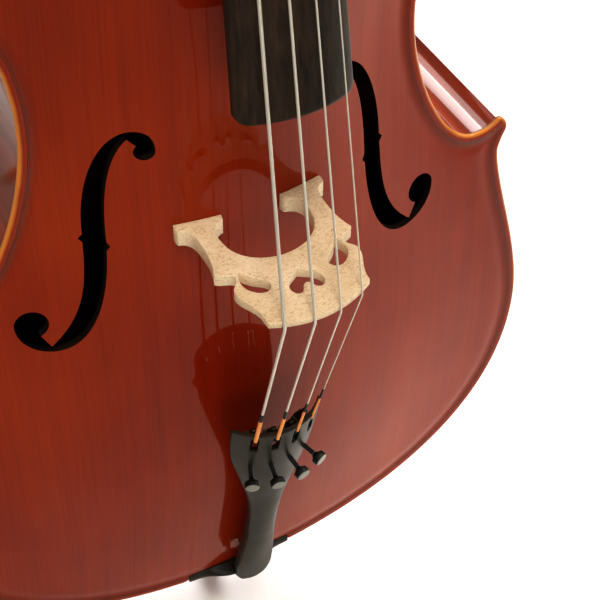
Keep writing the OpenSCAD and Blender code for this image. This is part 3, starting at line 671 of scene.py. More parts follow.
def plate(name, rise, material, holes=(), button=False, notches=()):
    """A closed, arched plate lying on y = 0 with its outer face to -Y.

    notches are (half width, low, high) of the places cut out at its ends.
    """
    outline = full_outline(button)
    rings = [outline] + [inward(outline, d, True) for d in (0.35, 0.8, 1.4, 2.2)]
    cuts = [np.array([[-half, low], [half, low], [half, high], [-half, high]]) for half, low, high in notches]
    groups = [*rings, *holes, *cuts]
    loops = [0, *range(len(rings), len(groups))]
    for hole in holes:
        ring = inward(hole, 0.9, True)
        ring = ring[~inside(ring, hole)]
        groups.append(ring[gap_to(ring, hole) > 0.6])
    groups.append(scatter(outline, holes, 1.9))
    flat, triangles, border = fill_shape(groups, loops)
    gap = gap_to(flat, outline)
    gap[gap < 1e-3] = 0
    x, z = flat.T
    behind = PLATE_T - rounding(gap) - rise * arch(x, z)
    verts = np.vstack([np.stack([x, plate_face(x, z, gap, rise), z], 1), np.stack([x, behind, z], 1)])
    walls = [e for e in border if gap[list(e)].max() > 1e-3]
    mesh = bpy.data.meshes.new(name)
    mesh.from_pydata((verts * MM).tolist(), [], thick_faces(len(flat), triangles, walls))
    mesh.materials.append(material)
    if holes:
        mesh.materials.append(INNER_WOOD)
        mesh.materials.append(CUT_EDGE)
        kinds = np.repeat([0, 1, 2], [len(triangles), len(triangles), len(walls)])
        mesh.polygons.foreach_set("material_index", kinds)
    mark(mesh, np.concatenate([gap, gap]))
    made = bmesh.new()
    made.from_mesh(mesh)
    bmesh.ops.remove_doubles(made, verts=made.verts, dist=1e-5)
    loose = [v for v in made.verts if not v.link_faces]
    bmesh.ops.delete(made, geom=loose, context="VERTS")
    bmesh.ops.recalc_face_normals(made, faces=made.faces)
    made.to_mesh(mesh)
    made.free()
    shade(mesh, 50)
    return link(name, mesh)


def block(name, low, high, spot, material):
    """A box between two corners of the space that spot maps to the instrument."""
    corners = [spot(x, y, z) for z in (low[2], high[2]) for y in (low[1], high[1]) for x in (low[0], high[0])]
    faces = [(0, 2, 3, 1), (4, 5, 7, 6), (0, 1, 5, 4), (2, 6, 7, 3), (0, 4, 6, 2), (1, 3, 7, 5)]
    return mesh_object(name, corners, faces, [material], 30)


SADDLE_HALF, SADDLE_IN = 39.0, 9.5
ROOT_W, ROOT_IN = 29.0, 10.0


def build_belly():
    hole = f_hole()
    notches = [(SADDLE_HALF, BOTTOM - 5, BOTTOM + SADDLE_IN), (ROOT_W / 2, TOP - ROOT_IN, TOP + 5)]
    obj = plate("belly_plate", BELLY_RISE, BELLY_VARNISH, [hole, flip(hole)], notches=notches)
    obj.data.transform(Matrix.Translation(Vector(place([0, 0, 0]))))
    return finish_piece(obj, "body", "belly_wood", "belly")


def build_back():
    obj = plate("back_plate_wood", BACK_RISE, BACK_VARNISH, button=True)
    turn = Matrix.Diagonal((1, -1, 1, 1))
    obj.data.transform(Matrix.Translation(Vector(place([0, DEPTH, 0]))) @ turn)
    obj.data.flip_normals()
    return finish_piece(obj, "body", "body_wood", "back_plate")


def purfling_line(outline, distance):
    """The outline moved in, without the loops that sharp corners would make."""
    line = inward(outline, distance, True)
    return line[gap_to(line, outline) > distance - 0.02]


def purfling(name, outline, rise, front, node, gaps=()):
    """Two dark strips lying in the plate's face, with the plate's own varnish between them."""
    parts = []
    for from_, to, material in ((4.6, 5.05, PURFLING_DARK), (5.75, 6.2, PURFLING_DARK)):
        a = purfling_line(outline, (from_ + to) / 2)
        half = (to - from_) / 2
        b, a = inward(a, half, True), inward(a, -half, True)
        rows = []
        for line in (a, b):
            gap = np.full(len(line), (from_ + to) / 2)
            y = plate_face(line[:, 0], line[:, 1], gap, rise)
            rows.append([np.stack([line[:, 0], y + dy, line[:, 1]], 1) for dy in (-0.05, 0.5)])
        ring = np.stack([rows[0][1], rows[0][0], rows[1][0], rows[1][1]], 1)
        ring = ring if front else ring * [1, -1, 1] + [0, DEPTH, 0]
        n = len(ring)
        middle = ring.mean(1)
        cut = [any(abs(x) < w and low < z < high for w, low, high in gaps) for x, _, z in middle]
        faces = []
        for k in range(n):
            if cut[k]:
                continue
            j = (k + 1) % n
            faces += [(4 * k + i, 4 * k + (i + 1) % 4, 4 * j + (i + 1) % 4, 4 * j + i) for i in range(4)]
            faces += [tuple(range(4 * e, 4 * e + 4)) for e, end in ((k, cut[k - 1]), (j, cut[j])) if end]
        parts.append(mesh_object(name, ring.reshape(-1, 3), faces, [material], 50))
    return finish_piece(join(name, parts), "body", "purfling", node)


def build_purfling():
    gaps = [(SADDLE_HALF + 0.5, BOTTOM - 5, BOTTOM + SADDLE_IN), (ROOT_W / 2 + 0.5, TOP - ROOT_IN, TOP + 5)]
    purfling("belly_purfling_line", full_outline(), BELLY_RISE, True, "belly_purfling", gaps)
    purfling("back_purfling_line", full_outline(), BACK_RISE, False, "back_purfling")


# ---------------------------------------------------------------- ribs
def rib(name, line, side, node):
    """A thin bent strip between the plates, along one stretch of the outline."""
    outer, inner = inward(line, OVERHANG), inward(line, OVERHANG + RIB_T)
    sections = []
    for a, b in zip(outer, inner):
        ring = [(a[0], y, a[1]) for y in np.linspace(PLATE_T, BACK_Y, 5)]
        ring += [(b[0], y, b[1]) for y in np.linspace(BACK_Y, PLATE_T, 5)]
        sections.append(ring)
    verts, faces = loft(sections)
    obj = mesh_object(name, verts * [side, 1, 1], faces, [RIB_VARNISH], 40)
    along = np.concatenate([[0], np.cumsum(np.linalg.norm(np.diff(line, axis=0), axis=1))])
    worn = np.minimum(along if line[0, 0] > 20 else 99, along[-1] - along if line[-1, 0] > 20 else 99)
    mark(obj.data, np.repeat(worn + 0.6, 10))
    return finish_piece(obj, "body", "body_wood", node)


def build_ribs():
    n = FINENESS
    corner_low, corner_up = lower_corner(n), upper_corner(n)
    half_low, half_up = len(corner_low) // 2, len(corner_up) // 2
    lower = np.vstack([lower_chain(n), corner_low[:half_low + 1]])
    middle = np.vstack([corner_low[half_low:], c_chain(n), corner_up[:half_up + 1]])
    upper = np.vstack([corner_up[half_up:], upper_chain(n)])
    for side, word in ((1, "treble"), (-1, "bass")):
        rib(f"lower_rib_{word}", lower, side, f"rib_lower_{word}")
        rib(f"c_rib_{word}", middle, side, f"rib_c_{word}")
        rib(f"upper_rib_{word}", upper, side, f"rib_upper_{word}")


# ---------------------------------------------------------------- neck frame
BOARD_SLOPE = 0.18
CROWN_AT_BRIDGE = -106.2
LEAN = atan(BOARD_SLOPE)
BOARD_END_Z = 110.0
BOARD_LEN = 579.0
BOARD_W, NUT_W, BOARD_R = 64.0, 31.0, 58.0
NUT_Z = BOARD_END_Z + BOARD_LEN * cos(LEAN)
CROWN_Y = CROWN_AT_BRIDGE + BOARD_SLOPE * NUT_Z
GLUE_NUT, GLUE_END = 8.9, 15.8
GLUE_SLOPE = (GLUE_END - GLUE_NUT) / BOARD_LEN


def from_nut(x, y, z):
    """A place given from the nut: y back from the fingerboard's crown, z up along it."""
    return np.array([x, CROWN_Y + y * cos(LEAN) + z * sin(LEAN), NUT_Z - y * sin(LEAN) + z * cos(LEAN)])


def joint_y(z):
    u = (z - NUT_Z + GLUE_NUT * sin(LEAN)) / (cos(LEAN) + GLUE_SLOPE * sin(LEAN))
    return CROWN_Y + (GLUE_NUT - GLUE_SLOPE * u) * cos(LEAN) + u * sin(LEAN)


def crown(x):
    """How far the fingerboard's round top falls away at x from its middle."""
    return BOARD_R - sqrt(BOARD_R**2 - x * x)


def board_section(u, width, pinch=0.0):
    """One closed section of the fingerboard at u below the nut."""
    half = width / 2 - pinch
    thick = GLUE_NUT - GLUE_SLOPE * u - pinch
    edge = 1.1
    x = np.linspace(-half + edge, half - edge, 25)
    top = [(a, crown(a) + pinch) for a in x]
    side_y = crown(half) + pinch
    right = [(half - 0.35, side_y + 0.1), (half, side_y + 0.9), (half, thick - 0.8), (half - 0.8, thick)]
    left = [(-a, b) for a, b in right[::-1]]
    return [from_nut(a, b, u) for a, b in top + right + left]


def build_fingerboard():
    sections = [board_section(0, NUT_W)]
    for u in np.linspace(-20, -BOARD_LEN + 6, 26):
        sections.append(board_section(u, mix(NUT_W, BOARD_W, -u / BOARD_LEN)))
    for back in (4.5, 3.0, 1.8, 0.8, 0.2, 0.0):
        u = -BOARD_LEN + back
        pinch = 5.0 - sqrt(max(0.0, 25.0 - (5.0 - back) ** 2)) if back < 5 else 0.0
        width = mix(NUT_W, BOARD_W, -u / BOARD_LEN) - 2 * min(pinch, 3.2)
        sections.append(board_section(u, width, min(0.5, max(0.0, 0.5 - back / 2))))
    obj = mesh_object("fingerboard_black", *loft(sections), [BOARD_WOOD], 30)
    return finish_piece(obj, "body", "ebony", "fingerboard")


def build_nut():
    sections = []
    for z, low in ((0, 0.0), (0.6, -0.5), (2.5, -0.9), (5.0, -0.6), (6.6, 0.4), (7.0, 1.6)):
        x = np.linspace(-NUT_W / 2, NUT_W / 2, 41)
        top = [(a, crown(a) + low) for a in x]
        for spot in nut_places():
            top = [(a, b + 0.5 * exp(-((a - spot) / 0.8) ** 2)) for a, b in top]
        ring = top + [(NUT_W / 2, GLUE_NUT), (-NUT_W / 2, GLUE_NUT)]
        sections.append([from_nut(a, b, z) for a, b in ring])
    obj = mesh_object("nut_ebony", *loft(sections), [EBONY], 40)
    return finish_piece(obj, "body", "ebony", "nut")


# ---------------------------------------------------------------- strings' places
BRIDGE_SPREAD, NUT_SPREAD = 47.4, 22.0
BRIDGE_H, CROWN_TILT, CROWN_BOW = 114.3, -0.0695, 112.0
STRING_R = (1.0, 0.8, 0.6, 0.45)
STRINGS = "cgda"


def spread(width):
    return [-width / 2, -width / 6, width / 6, width / 2]


def nut_places():
    return spread(NUT_SPREAD)


def string_h(x):
    return BRIDGE_H + CROWN_TILT * x - x * x / CROWN_BOW


# ---------------------------------------------------------------- neck, pegbox and scroll
HEEL_LINE = [[TOP + 0.2, BACK_Y], [TOP + 8, BACK_Y], [TOP + 12, BACK_Y - 6], [TOP + 14, 96], [TOP + 17, 80],
             [TOP + 22, 62], [TOP + 30, 43], [TOP + 42, 24], [TOP + 58, 9], [TOP + 78, 2], [TOP + 110, 4.5]]


def neck_section(z, back):
    front = joint_y(z)
    w = mix(NUT_W, BOARD_W, (NUT_Z - z) / (BOARD_LEN * cos(LEAN))) / 2
    depth = back - front
    heel = float(smooth((TOP + 60 - z) / 50))
    foot = sqrt(max(9, BUTTON_R**2 - max(0, z - TOP) ** 2))
    narrow = mix(1, min(1, foot / w), heel)
    ring = []
    for k in range(33):
        a = pi * k / 32
        c, s = cos(a), sin(a)
        x = copysign(abs(c) ** mix(0.85, 0.25, heel), c)
        d = s ** mix(1, 0.5, heel)
        ring.append((w * x * mix(1, narrow, d), front + depth * d, z))
    return ring


def neck_shaft():
    line = chained(HEEL_LINE + [[NUT_Z - 2, joint_y(NUT_Z - 2) + 21]], 5)
    line = line[np.concatenate([[True], np.diff(line[:, 0]) > 0.05])]
    sections = [neck_section(z, min(y, BACK_Y)) for z, y in line]
    return mesh_object("neck_shaft", *loft(sections), [NECK_WOOD], 50)


# the head and its hollow seen from the side, as places from the nut: y back, z up
HEAD_SIDE = [[GLUE_NUT + 0.15, -12], [GLUE_NUT, 7], [12.5, 40], [17, 80], [20, 120], [20, 146], [32, 160],
             [46, 170], [62, 168], [60, 140], [56, 110], [53, 75], [48, 42], [41, 15], [35, 0], [29, -12]]
CAVITY_SIDE = [[-5, 11], [17, 12], [32, 17], [42, 43], [45, 80], [48, 112], [49, 134], [40, 142], [-5, 142]]


def tapered(name, side, widths, z0, z1, material):
    """A side view given thickness that changes from widths[0] at z0 to widths[1] at z1."""
    def half(z):
        return mix(widths[0], widths[1], (z - z0) / (z1 - z0)) / 2
    sections = [[from_nut(s * half(z), y, z) for y, z in side] for s in (-1, 1)]
    return mesh_object(name, *loft(sections), [material], 30)


def pegbox():
    front = chained([HEAD_SIDE[k] for k in range(1, 6)], 6)
    back = chained([HEAD_SIDE[k] for k in range(8, 16)], 6)
    outline = np.vstack([[HEAD_SIDE[0]], front, HEAD_SIDE[6:8], back])
    floor = chained([CAVITY_SIDE[k] for k in range(1, 8)], 6)
    hollow = np.vstack([[CAVITY_SIDE[0]], floor, [CAVITY_SIDE[8]]])
    box = tapered("pegbox", outline, (34, 24), -14, 168, NECK_WOOD)
    box = carve(box, [tapered("pegbox_cut", hollow, (21, 15), 10, 142, INNER_WOOD)])
    return bevel(box, 1.1, 3, 35)


SCROLL_EYE = (31.0, 180.0)
SCROLL_R, SCROLL_TURNS = 34.5, 2.45


def scroll_radius(a):
    return SCROLL_R * exp(-0.098 * a)


def scroll_width(a):
    return 12.0 + 19.0 * smooth(a / (2 * pi * SCROLL_TURNS)) ** 0.9


def scroll():
    """A spiral that climbs outwards to its eyes on both sides, with two flutes down its back."""
    start = radians(24)
    steps = 150
    angles = np.linspace(0, 2 * pi * SCROLL_TURNS, steps)

    def spot(a, r, x):
        w = start - a
        return from_nut(x, SCROLL_EYE[0] + r * cos(w), SCROLL_EYE[1] - r * sin(w) * 0.98)
    parts = []
    for side in (-1, 1):
        rows = []
        for a in angles:
            outer, inner = scroll_radius(a), scroll_radius(a + 2 * pi)
            w0, w1 = scroll_width(a), scroll_width(min(a + 2 * pi, angles[-1]))
            row = [spot(a, outer, side * (w0 - 1.2)), spot(a, outer - 0.7, side * w0),
                   spot(a, outer - 2.2, side * w0)]
            for t in np.linspace(0, 1, 7)[1:]:
                r = mix(outer - 2.2, inner, t ** 0.8)
                row.append(spot(a, r, side * mix(w0, w1 - 0.6, t ** 2.2)))
            rows.append(row)
        verts, faces = loft(rows, closed=False, caps=False)
        parts.append(mesh_object("volute", verts, faces, [NECK_WOOD], 50))
        eye = [(0.01, 31), (4.5, 31), (6.0, 30.4), (6.6, 28.5), (7.6, 20)]
        parts.append(lathe("eye", eye, lambda u, v, h, s=side: from_nut(
            s * h, SCROLL_EYE[0] + u * 0.9, SCROLL_EYE[1] + v * 0.9), NECK_WOOD, 32))
    rows = []
    for a in angles[: int(steps / SCROLL_TURNS * 1.02)]:
        w = scroll_width(a) - 1.2
        row = []
        for t in np.linspace(-1, 1, 25):
            flute = 1.5 * (1 - smooth(a / 5.5)) * sin(pi * min(1, abs(t) / 0.94)) ** 2
            row.append(spot(a, scroll_radius(a) - flute, t * w))
        rows.append(row)
    verts, faces = loft(rows, closed=False, caps=False)
    parts.append(mesh_object("scroll_back", verts, faces, [NECK_WOOD], 60))
    return parts


def build_neck():
    root = block("root", (-ROOT_W / 2, joint_y(TOP) + 1, TOP - ROOT_IN), (ROOT_W / 2, BACK_Y, TOP + 1),
                 lambda *spot: spot, NECK_WOOD)
    obj = join("neck_and_scroll", [neck_shaft(), root, pegbox(), *scroll()])
    mark(obj.data, np.full(len(obj.data.vertices), 20))
    return finish_piece(obj, "body", "neck_wood", "neck")


# place above the nut and behind the crown, side of the head, x of the string where it reaches the peg
PEGS = {"c": (28, 24, -1, -5), "a": (58, 30, 1, 5), "g": (90, 34, -1, -2.5), "d": (121, 36, 1, 2.5)}
PEG_X = 18
WINDING_R = 8.6


def build_pegs():
    for letter, (up, depth, side, string_at) in PEGS.items():
        def spot(u, v, h, side=side, up=up, depth=depth):
            return from_nut(side * (PEG_X - h), depth + v, up + u)
        shaft = [(0.01, 36), (6.1, 36), (6.34, 35.6), (7.2, 0), (7.3, -4), (8.2, -4.2), (9, -4.8), (9, -6.2),
                 (8.2, -7), (7.5, -7.2), (6.6, -8.4), (5.6, -11), (5.6, -13)]
        parts = [lathe("peg_shaft", shaft, spot, EBONY)]
        rings = []
        for h, w, t in ((-11, 5.2, 5.2), (-14, 7.5, 5.6), (-17, 11.5, 5.4), (-21, 15, 5.0), (-26, 16.6, 4.6),
                        (-31, 16.4, 4.3), (-35, 14.4, 4.0), (-38.5, 10.5, 3.7), (-41, 6.0, 3.3),
                        (-42.5, 3.2, 2.8), (-43.4, 2.2, 2.2), (-44.2, 3.0, 3.0), (-46, 3.4, 3.4),
                        (-48, 2.9, 2.9), (-49.1, 1.2, 1.2)):
            angles = circle(36)
            flat = np.abs(np.cos(angles)) ** 1.2 * np.sign(np.cos(angles))
            dish = 1 - 0.28 * (np.abs(np.sin(angles)) > 0.75) * (w > 9)
            rings.append([spot(w * c, t * d * s, h) for c, s, d in zip(flat, np.sin(angles), dish)])
        parts.append(mesh_object("peg_head", *loft(rings), [EBONY], 40))
        peg = join(f"peg_{letter}_ebony", parts)
        finish_piece(peg, f"{letter}_peg", "ebony", f"peg_{letter}")
        turns, wide = 3.6, 6.4
        wire = STRING_R[STRINGS.index(letter)]
        a = np.linspace(0, 2 * pi * turns, 110)
        h = PEG_X - side * string_at - wide / 2 + wide * a / a[-1]
        r = WINDING_R - wire - 0.1
        coil = [spot(r * cos(t), r * sin(t), u) for t, u in zip(a, h)]
        coil = tube(f"winding_{letter}_wire", coil, wire, STRING_WIRE, 10)
        finish_piece(coil, f"{letter}_peg", "string_wire", f"winding_{letter}")


# ---------------------------------------------------------------- bridge
BRIDGE_T = (11.0, 2.8)
BRIDGE_FRONT = 1.0


def bridge_half(n):
    """The treble half of the bridge's outline, from the top of the arch round the foot to the crown."""
    return chain(
        n, [0, 67.4], (5, [13, 67.4], [23.6, 60], [26.0, 49.5]),
        (3, [27.4, 42], [27.6, 36], [24.0, 32.4]), (2, [22.4, 30.8], [20.6, 30.6], [18.5, 29.6]),
        (1, [18.1, 28.4], [17.9, 27], [17.8, 25.7]), (4, [27, 24.9], [36, 23.6], [44.6, 21.6]),
        (1, [45.0, 24], [45.2, 26.4], [44.2, 27.8]), (3, [40.4, 28.4], [38.0, 31.6], [37.6, 38]),
        (4, [37.2, 46], [37.2, 56], [41.2, 64.8]), (3, [38.6, 67.8], [34.6, 67.4], [31.6, 70.4]),
        (3, [31.4, 75.4], [37.0, 76.6], [37.0, 81.4]), (3, [36.6, 88], [31.2, 93], [31.0, 101.5]))


def bridge_crown(n):
    x = np.linspace(31.0, -31.0, 12 * n)
    h = np.array([string_h(v) for v in x]) - 0.7
    for spot, r in zip(spread(BRIDGE_SPREAD), STRING_R):
        near = np.abs(x - spot)
        h = np.where(near < r, h - 0.9 * np.sqrt(np.maximum(0, r * r - near**2)) + 0.2, h)
    return np.stack([x, h], 1)


def kidney(n):
    return chain(
        n, [17.2, 82.5], (3, [18.2, 77.5], [24.2, 77.8], [28.4, 68.6]),
        (3, [32.2, 73.6], [32.2, 80.5], [27.6, 84.4]), (3, [24, 88.6], [17.6, 88.4], [17.2, 82.5]))


def heart(n):
    half = chain(n, [0, 79.5], (3, [3, 82], [9.5, 84], [9.8, 91]), (3, [9.5, 97], [3.6, 97.6], [2.4, 91.6]))
    half = np.vstack([half, [[2.4, 91.6], [1.2, 90.6]]])
    return np.vstack([half, [[0, 90.2]], flip(half)[:-1]])


def build_bridge():
    """The blank cut to shape, thinner to the top, with its feet fitted to the belly."""
    half = bridge_half(4)
    outline = np.vstack([half, bridge_crown(6), flip(half)[:-1]])
    holes = [kidney(5), flip(kidney(5)), heart(5)]
    fill = np.array([[x, h] for x in np.arange(-46, 47, 3.0) for h in np.arange(24, 114, 3.0)])
    fill = fill[inside(fill, outline) & (gap_to(fill, outline) > 1.2)]
    for hole in holes:
        fill = fill[~inside(fill, hole) & (gap_to(fill, hole) > 1.2)]
    flat, triangles, border = fill_shape([outline, *holes, fill], range(4))
    x, h = flat.T
    rise = np.clip((h - 24) / (BRIDGE_H - 24), 0, 1.05)
    crowned = 0.7 * np.sin(np.pi * np.clip(rise, 0, 1)) * (1 - (x / 60) ** 2)
    front = mix(BRIDGE_T[0] / 2, BRIDGE_FRONT, rise) + crowned
    back = mix(-BRIDGE_T[0] / 2, BRIDGE_FRONT - BRIDGE_T[1], rise)
    verts = np.vstack([np.stack([x, -h, front], 1), np.stack([x, -h, back], 1)])
    faces = thick_faces(len(flat), triangles, border)
    obj = mesh_object("bridge_maple", verts, faces, [BRIDGE_WOOD], 40)
    bevel(obj, 0.45, 2, 55)
    return finish_piece(obj, "body", "bridge_wood", "bridge")


# ---------------------------------------------------------------- tailpiece, tuners and tail cord
TAIL_TOP_Z = -137.0
TAIL_CROWN, TAIL_SLOPE = -73.0, 0.25
TAIL_SKEW = 0.016
# distance from the wide end, half width, height of the crown over the edges, thickness
TAIL_SHAPE = [
    [0, 29.4, 14.6, 3.4], [1.5, 30, 15, 3.6], [22, 29.4, 14.6, 3.8], [38, 27.4, 13, 4], [56, 23, 11.2, 4.6],
    [74, 18.4, 9.8, 5.4], [96, 13, 7.6, 6.6], [118, 10.2, 5.6, 7.6], [148, 9.8, 4, 8], [178, 11.6, 3.2, 8],
    [194, 12.6, 3, 8], [206, 12.8, 2.8, 7.8], [212, 12.2, 2.6, 7.4], [216, 10.5, 2, 6.6],
    [218.6, 7.6, 1, 5.2], [219.8, 3.6, 0.3, 3.6]]
TUNER_Z = -175.5
TUNER_X = (-18.5, -6.5, 6.5, 18.5)
TUNER_Y = (-58.3, -62.8, -62.8, -58.3)
TUNER_FAN = (-21.0, -8.0, 8.0, 21.0)
TAIL_LEAN = radians(12.4)
PIVOT_Z = 24.0
SCREW_TIP = 10.4


def from_tuner(k, x, y, z):
    """A place given from a tuner screw: -y out of the tailpiece, z towards the bridge."""
    fan = radians(TUNER_FAN[k])
    a, b = x * cos(fan) - y * sin(fan), x * sin(fan) + y * cos(fan)
    return np.array([TUNER_X[k] + a, TUNER_Y[k] + b * cos(TAIL_LEAN) - z * sin(TAIL_LEAN),
                     TUNER_Z + b * sin(TAIL_LEAN) + z * cos(TAIL_LEAN)])


def build_tailpiece():
    shape = chained(TAIL_SHAPE[1:-5], 5)
    shape = np.vstack([[TAIL_SHAPE[0]], shape[:-1], TAIL_SHAPE[-5:]])
    sections = []
    for along, half, sag, thick in shape:
        r = (half**2 + sag**2) / (2 * sag)
        x = np.linspace(-half, half, 33)

        def top(v, r=r, along=along):
            return TAIL_CROWN + TAIL_SLOPE * along + r - sqrt(max(0, r * r - v * v))
        ring = [(v + TAIL_SKEW * along, top(v), TAIL_TOP_Z - along) for v in x]
        x = np.linspace(half - 0.6, -half + 0.6, 33)
        ring += [(v + TAIL_SKEW * along, top(v) + thick, TAIL_TOP_Z - along) for v in x]
        sections.append(ring)
    obj = mesh_object("tailpiece_shell", *loft(sections), [TAIL_PLASTIC], 40)
    cuts = []
    for k in range(4):
        low, high, half = 20, 36, 2.35
        ring = [(-half, low + half), (-half, high), (half, high), (half, low + half)]
        ring += [(half * cos(a), low + half - half * sin(a)) for a in np.linspace(0.2, 2.9, 8)]
        cuts.append(mesh_object("slot", *loft([[from_tuner(k, a, y, b) for a, b in ring] for y in (-6, 6)]),
                                [TAIL_PLASTIC], 30))
    carve(obj, cuts)
    bevel(obj, 0.5, 2, 50)
    lugs = [block("lug", (x - 0.9, 1, PIVOT_Z - 3), (x + 0.9, 10.8, PIVOT_Z + 3), partial(from_tuner, k),
                  TAIL_PLASTIC) for k in range(4) for x in (-3.3, 3.3)]
    obj = join("tailpiece_shell", [obj, *lugs])
    return finish_piece(obj, "body", "tail_plastic", "tailpiece")


LEVER_SIDE = [[10.7, -4], [10.7, 16], [6.0, 23], [6.0, 27], [1.2, 29.5], [-0.6, 30.6], [0.2, 32.0],
              [3.6, 32.5], [8, 29.5], [11.2, 26.5], [13.1, 17], [13.1, -4]]


def build_tuners():
    for k, letter in enumerate(STRINGS):
        side = [[from_tuner(k, x, y, z) for y, z in LEVER_SIDE] for x in (-1.7, 1.7)]
        lever = mesh_object(f"lever_{letter}", *loft(side), [TUNER_BLACK], 30)
        bevel(lever, 0.35, 2, 30)
        finish_piece(lever, f"{letter}_tuner_lever", "tuner_metal", f"tuner_lever_{letter}")

        def spot(u, v, h, k=k):
            return from_tuner(k, u, -h, v)
        shaft = [(0.01, -SCREW_TIP), (1.2, -SCREW_TIP), (1.6, -SCREW_TIP + 0.5)]
        for h in np.arange(-SCREW_TIP + 0.9, 6.6, 0.7):
            shaft += [(1.6, h), (1.35, h + 0.35)]
        shaft += [(1.6, 7.0), (1.6, 8.0)]
        parts = [lathe("screw", shaft, spot, TUNER_BLACK, 20)]
        rim, low, high = 4.55, 10.4, 14.6
        rings = []
        for r, h, cut in ((1.6, 8.4, 0), (2.0, 9.3, 0), (3.4, 10.3, 0), (4.3, low + 0.3, 0.1),
                          (rim, low + 0.8, 0.28), (rim, high - 0.5, 0.28), (4.3, high, 0.1)):
            a = circle(72)
            rr = r - cut * (0.5 + 0.5 * np.cos(18 * a))
            rings.append([spot(q * cos(t), q * sin(t), h) for q, t in zip(rr, a)])
        parts.append(mesh_object("knob", *loft(rings, caps=False), [TUNER_BLACK], 40))
        cap = [(4.3, high), (3.9, high + 0.35), (3.3, high + 0.45), (0.01, high + 0.3)]
        parts.append(lathe("cap", cap, spot, KNOB_TOP, 48))
        screw = join(f"screw_{letter}", parts)
        finish_piece(screw, f"{letter}_tuner_screw", "tuner_metal", f"tuner_screw_{letter}")


CORD_R, CORD_SPREAD = 1.75, 5.0
SOCKET_R = 12.0
CORD_Z = BOTTOM - 5
CORD_ALONG = 208


def build_tail_cord():
    turn = SOCKET_R + CORD_R + 0.6
    shift = TAIL_SKEW * CORD_ALONG
    half = [[CORD_SPREAD, -15.5, TAIL_TOP_Z - CORD_ALONG], [CORD_SPREAD, -14.6, TAIL_TOP_Z - 218.5],
            [CORD_SPREAD + 0.3, -11.4, BOTTOM - 1], [CORD_SPREAD + 0.8, -6, CORD_Z],
            [CORD_SPREAD + 1.5, 2, CORD_Z - 0.2], [CORD_SPREAD + 4, 20, CORD_Z], [12, 40, CORD_Z]]
    half += [[turn * cos(a), MID_Y + turn * sin(a), CORD_Z] for a in np.radians(range(-10, 91, 20))]
    other = [[-x, y, z] for x, y, z in half[-2::-1]]
    route = np.array(half + other)
    route[:, 0] += shift * smooth((20 - route[:, 1]) / 30)
    cord = tube("tail_cord_black", chained(route, 5), CORD_R, SILK_BLACK, 14)
    return finish_piece(cord, "body", "foot_rubber", "tail_cord")


# ---------------------------------------------------------------- strings
# the upper end of each string's orange silk, then of its black band
SILK_Z = ((-113, -104), (-113, -104), (-116, -106), (-116, -105))


def string_route(k):
    r = STRING_R[k]
    letter = STRINGS[k]
    up, depth, side, at = PEGS[letter]
    x, nut_x = spread(BRIDGE_SPREAD)[k], nut_places()[k]
    nut_y = crown(nut_x) - 0.9 - r
    return np.array([
        from_tuner(k, 0, 1.2, 33.2), from_tuner(k, 0, -r - 0.6, 36.5),
        [x, -string_h(x), -3.2], [x, -string_h(x) - 0.25, -1.3], [x, -string_h(x) + 0.3, 2],
        from_nut(nut_x, nut_y - 0.15, -1), from_nut(nut_x, nut_y - 0.05, 4),
        from_nut(nut_x, nut_y + 1.2, 8.5), from_nut(at, depth - WINDING_R - r - 0.35, up - 2)])


def along_route(route, step):
    """The route's straight stretches cut into short ones."""
    out = []
    for a, b in zip(route[:-1], route[1:]):
        n = max(1, int(np.linalg.norm(b - a) / step))
        out += [mix(a, b, t) for t in np.linspace(0, 1, n, endpoint=False)]
    return np.array(out + [route[-1]])


def build_strings():
    for k, letter in enumerate(STRINGS):
        route = along_route(string_route(k), 8.0)
        parts = [tube("wire", route, STRING_R[k], STRING_WIRE, 12)]
        start, ahead = string_route(k)[1:3]
        way = (ahead - start) / np.linalg.norm(ahead - start)
        top, over = ((z - start[2]) / way[2] for z in SILK_Z[k])
        orange = [start + way * t for t in np.linspace(-1.0, top, 60)]
        parts.append(tube("silk", orange, STRING_R[k] + 0.28, SILK_ORANGE, 16))
        band = [start + way * t for t in np.linspace(top, over, 8)]
        parts.append(tube("band", band, STRING_R[k] + 0.24, SILK_BLACK, 12))
        end = [mix(string_route(k)[0], start, t) for t in np.linspace(0, 0.92, 6)]
        parts.append(tube("tail_end", end, STRING_R[k] + 0.2, SILK_BLACK, 12))
        finish_piece(join(f"string_{letter}_wound", parts), "body", "string_wire", f"string_{letter}")


# ---------------------------------------------------------------- saddle and endpin
def build_saddle():
    sections = []
    edge = lower_chain(4)[:20]
    for x in np.linspace(-SADDLE_HALF, SADDLE_HALF, 41):
        high = mix(9.0, 0.8, float(smooth((abs(x) - 7) / 25)))
        low = np.interp(abs(x), edge[:, 0], edge[:, 1])
        ring = [(x, PLATE_T, BOTTOM + SADDLE_IN), (x, -high * 0.2, BOTTOM + SADDLE_IN)]
        ring += [(x, -high * y, low + z)
                 for y, z in ((0.55, 6.5), (0.9, 4.6), (1, 3), (0.92, 1.4), (0.6, 0.3))]
        sections.append(ring + [(x, 0, low), (x, PLATE_T, low)])
    obj = mesh_object("saddle_ebony", *loft(sections), [EBONY], 35)
    return finish_piece(obj, "body", "ebony", "saddle")


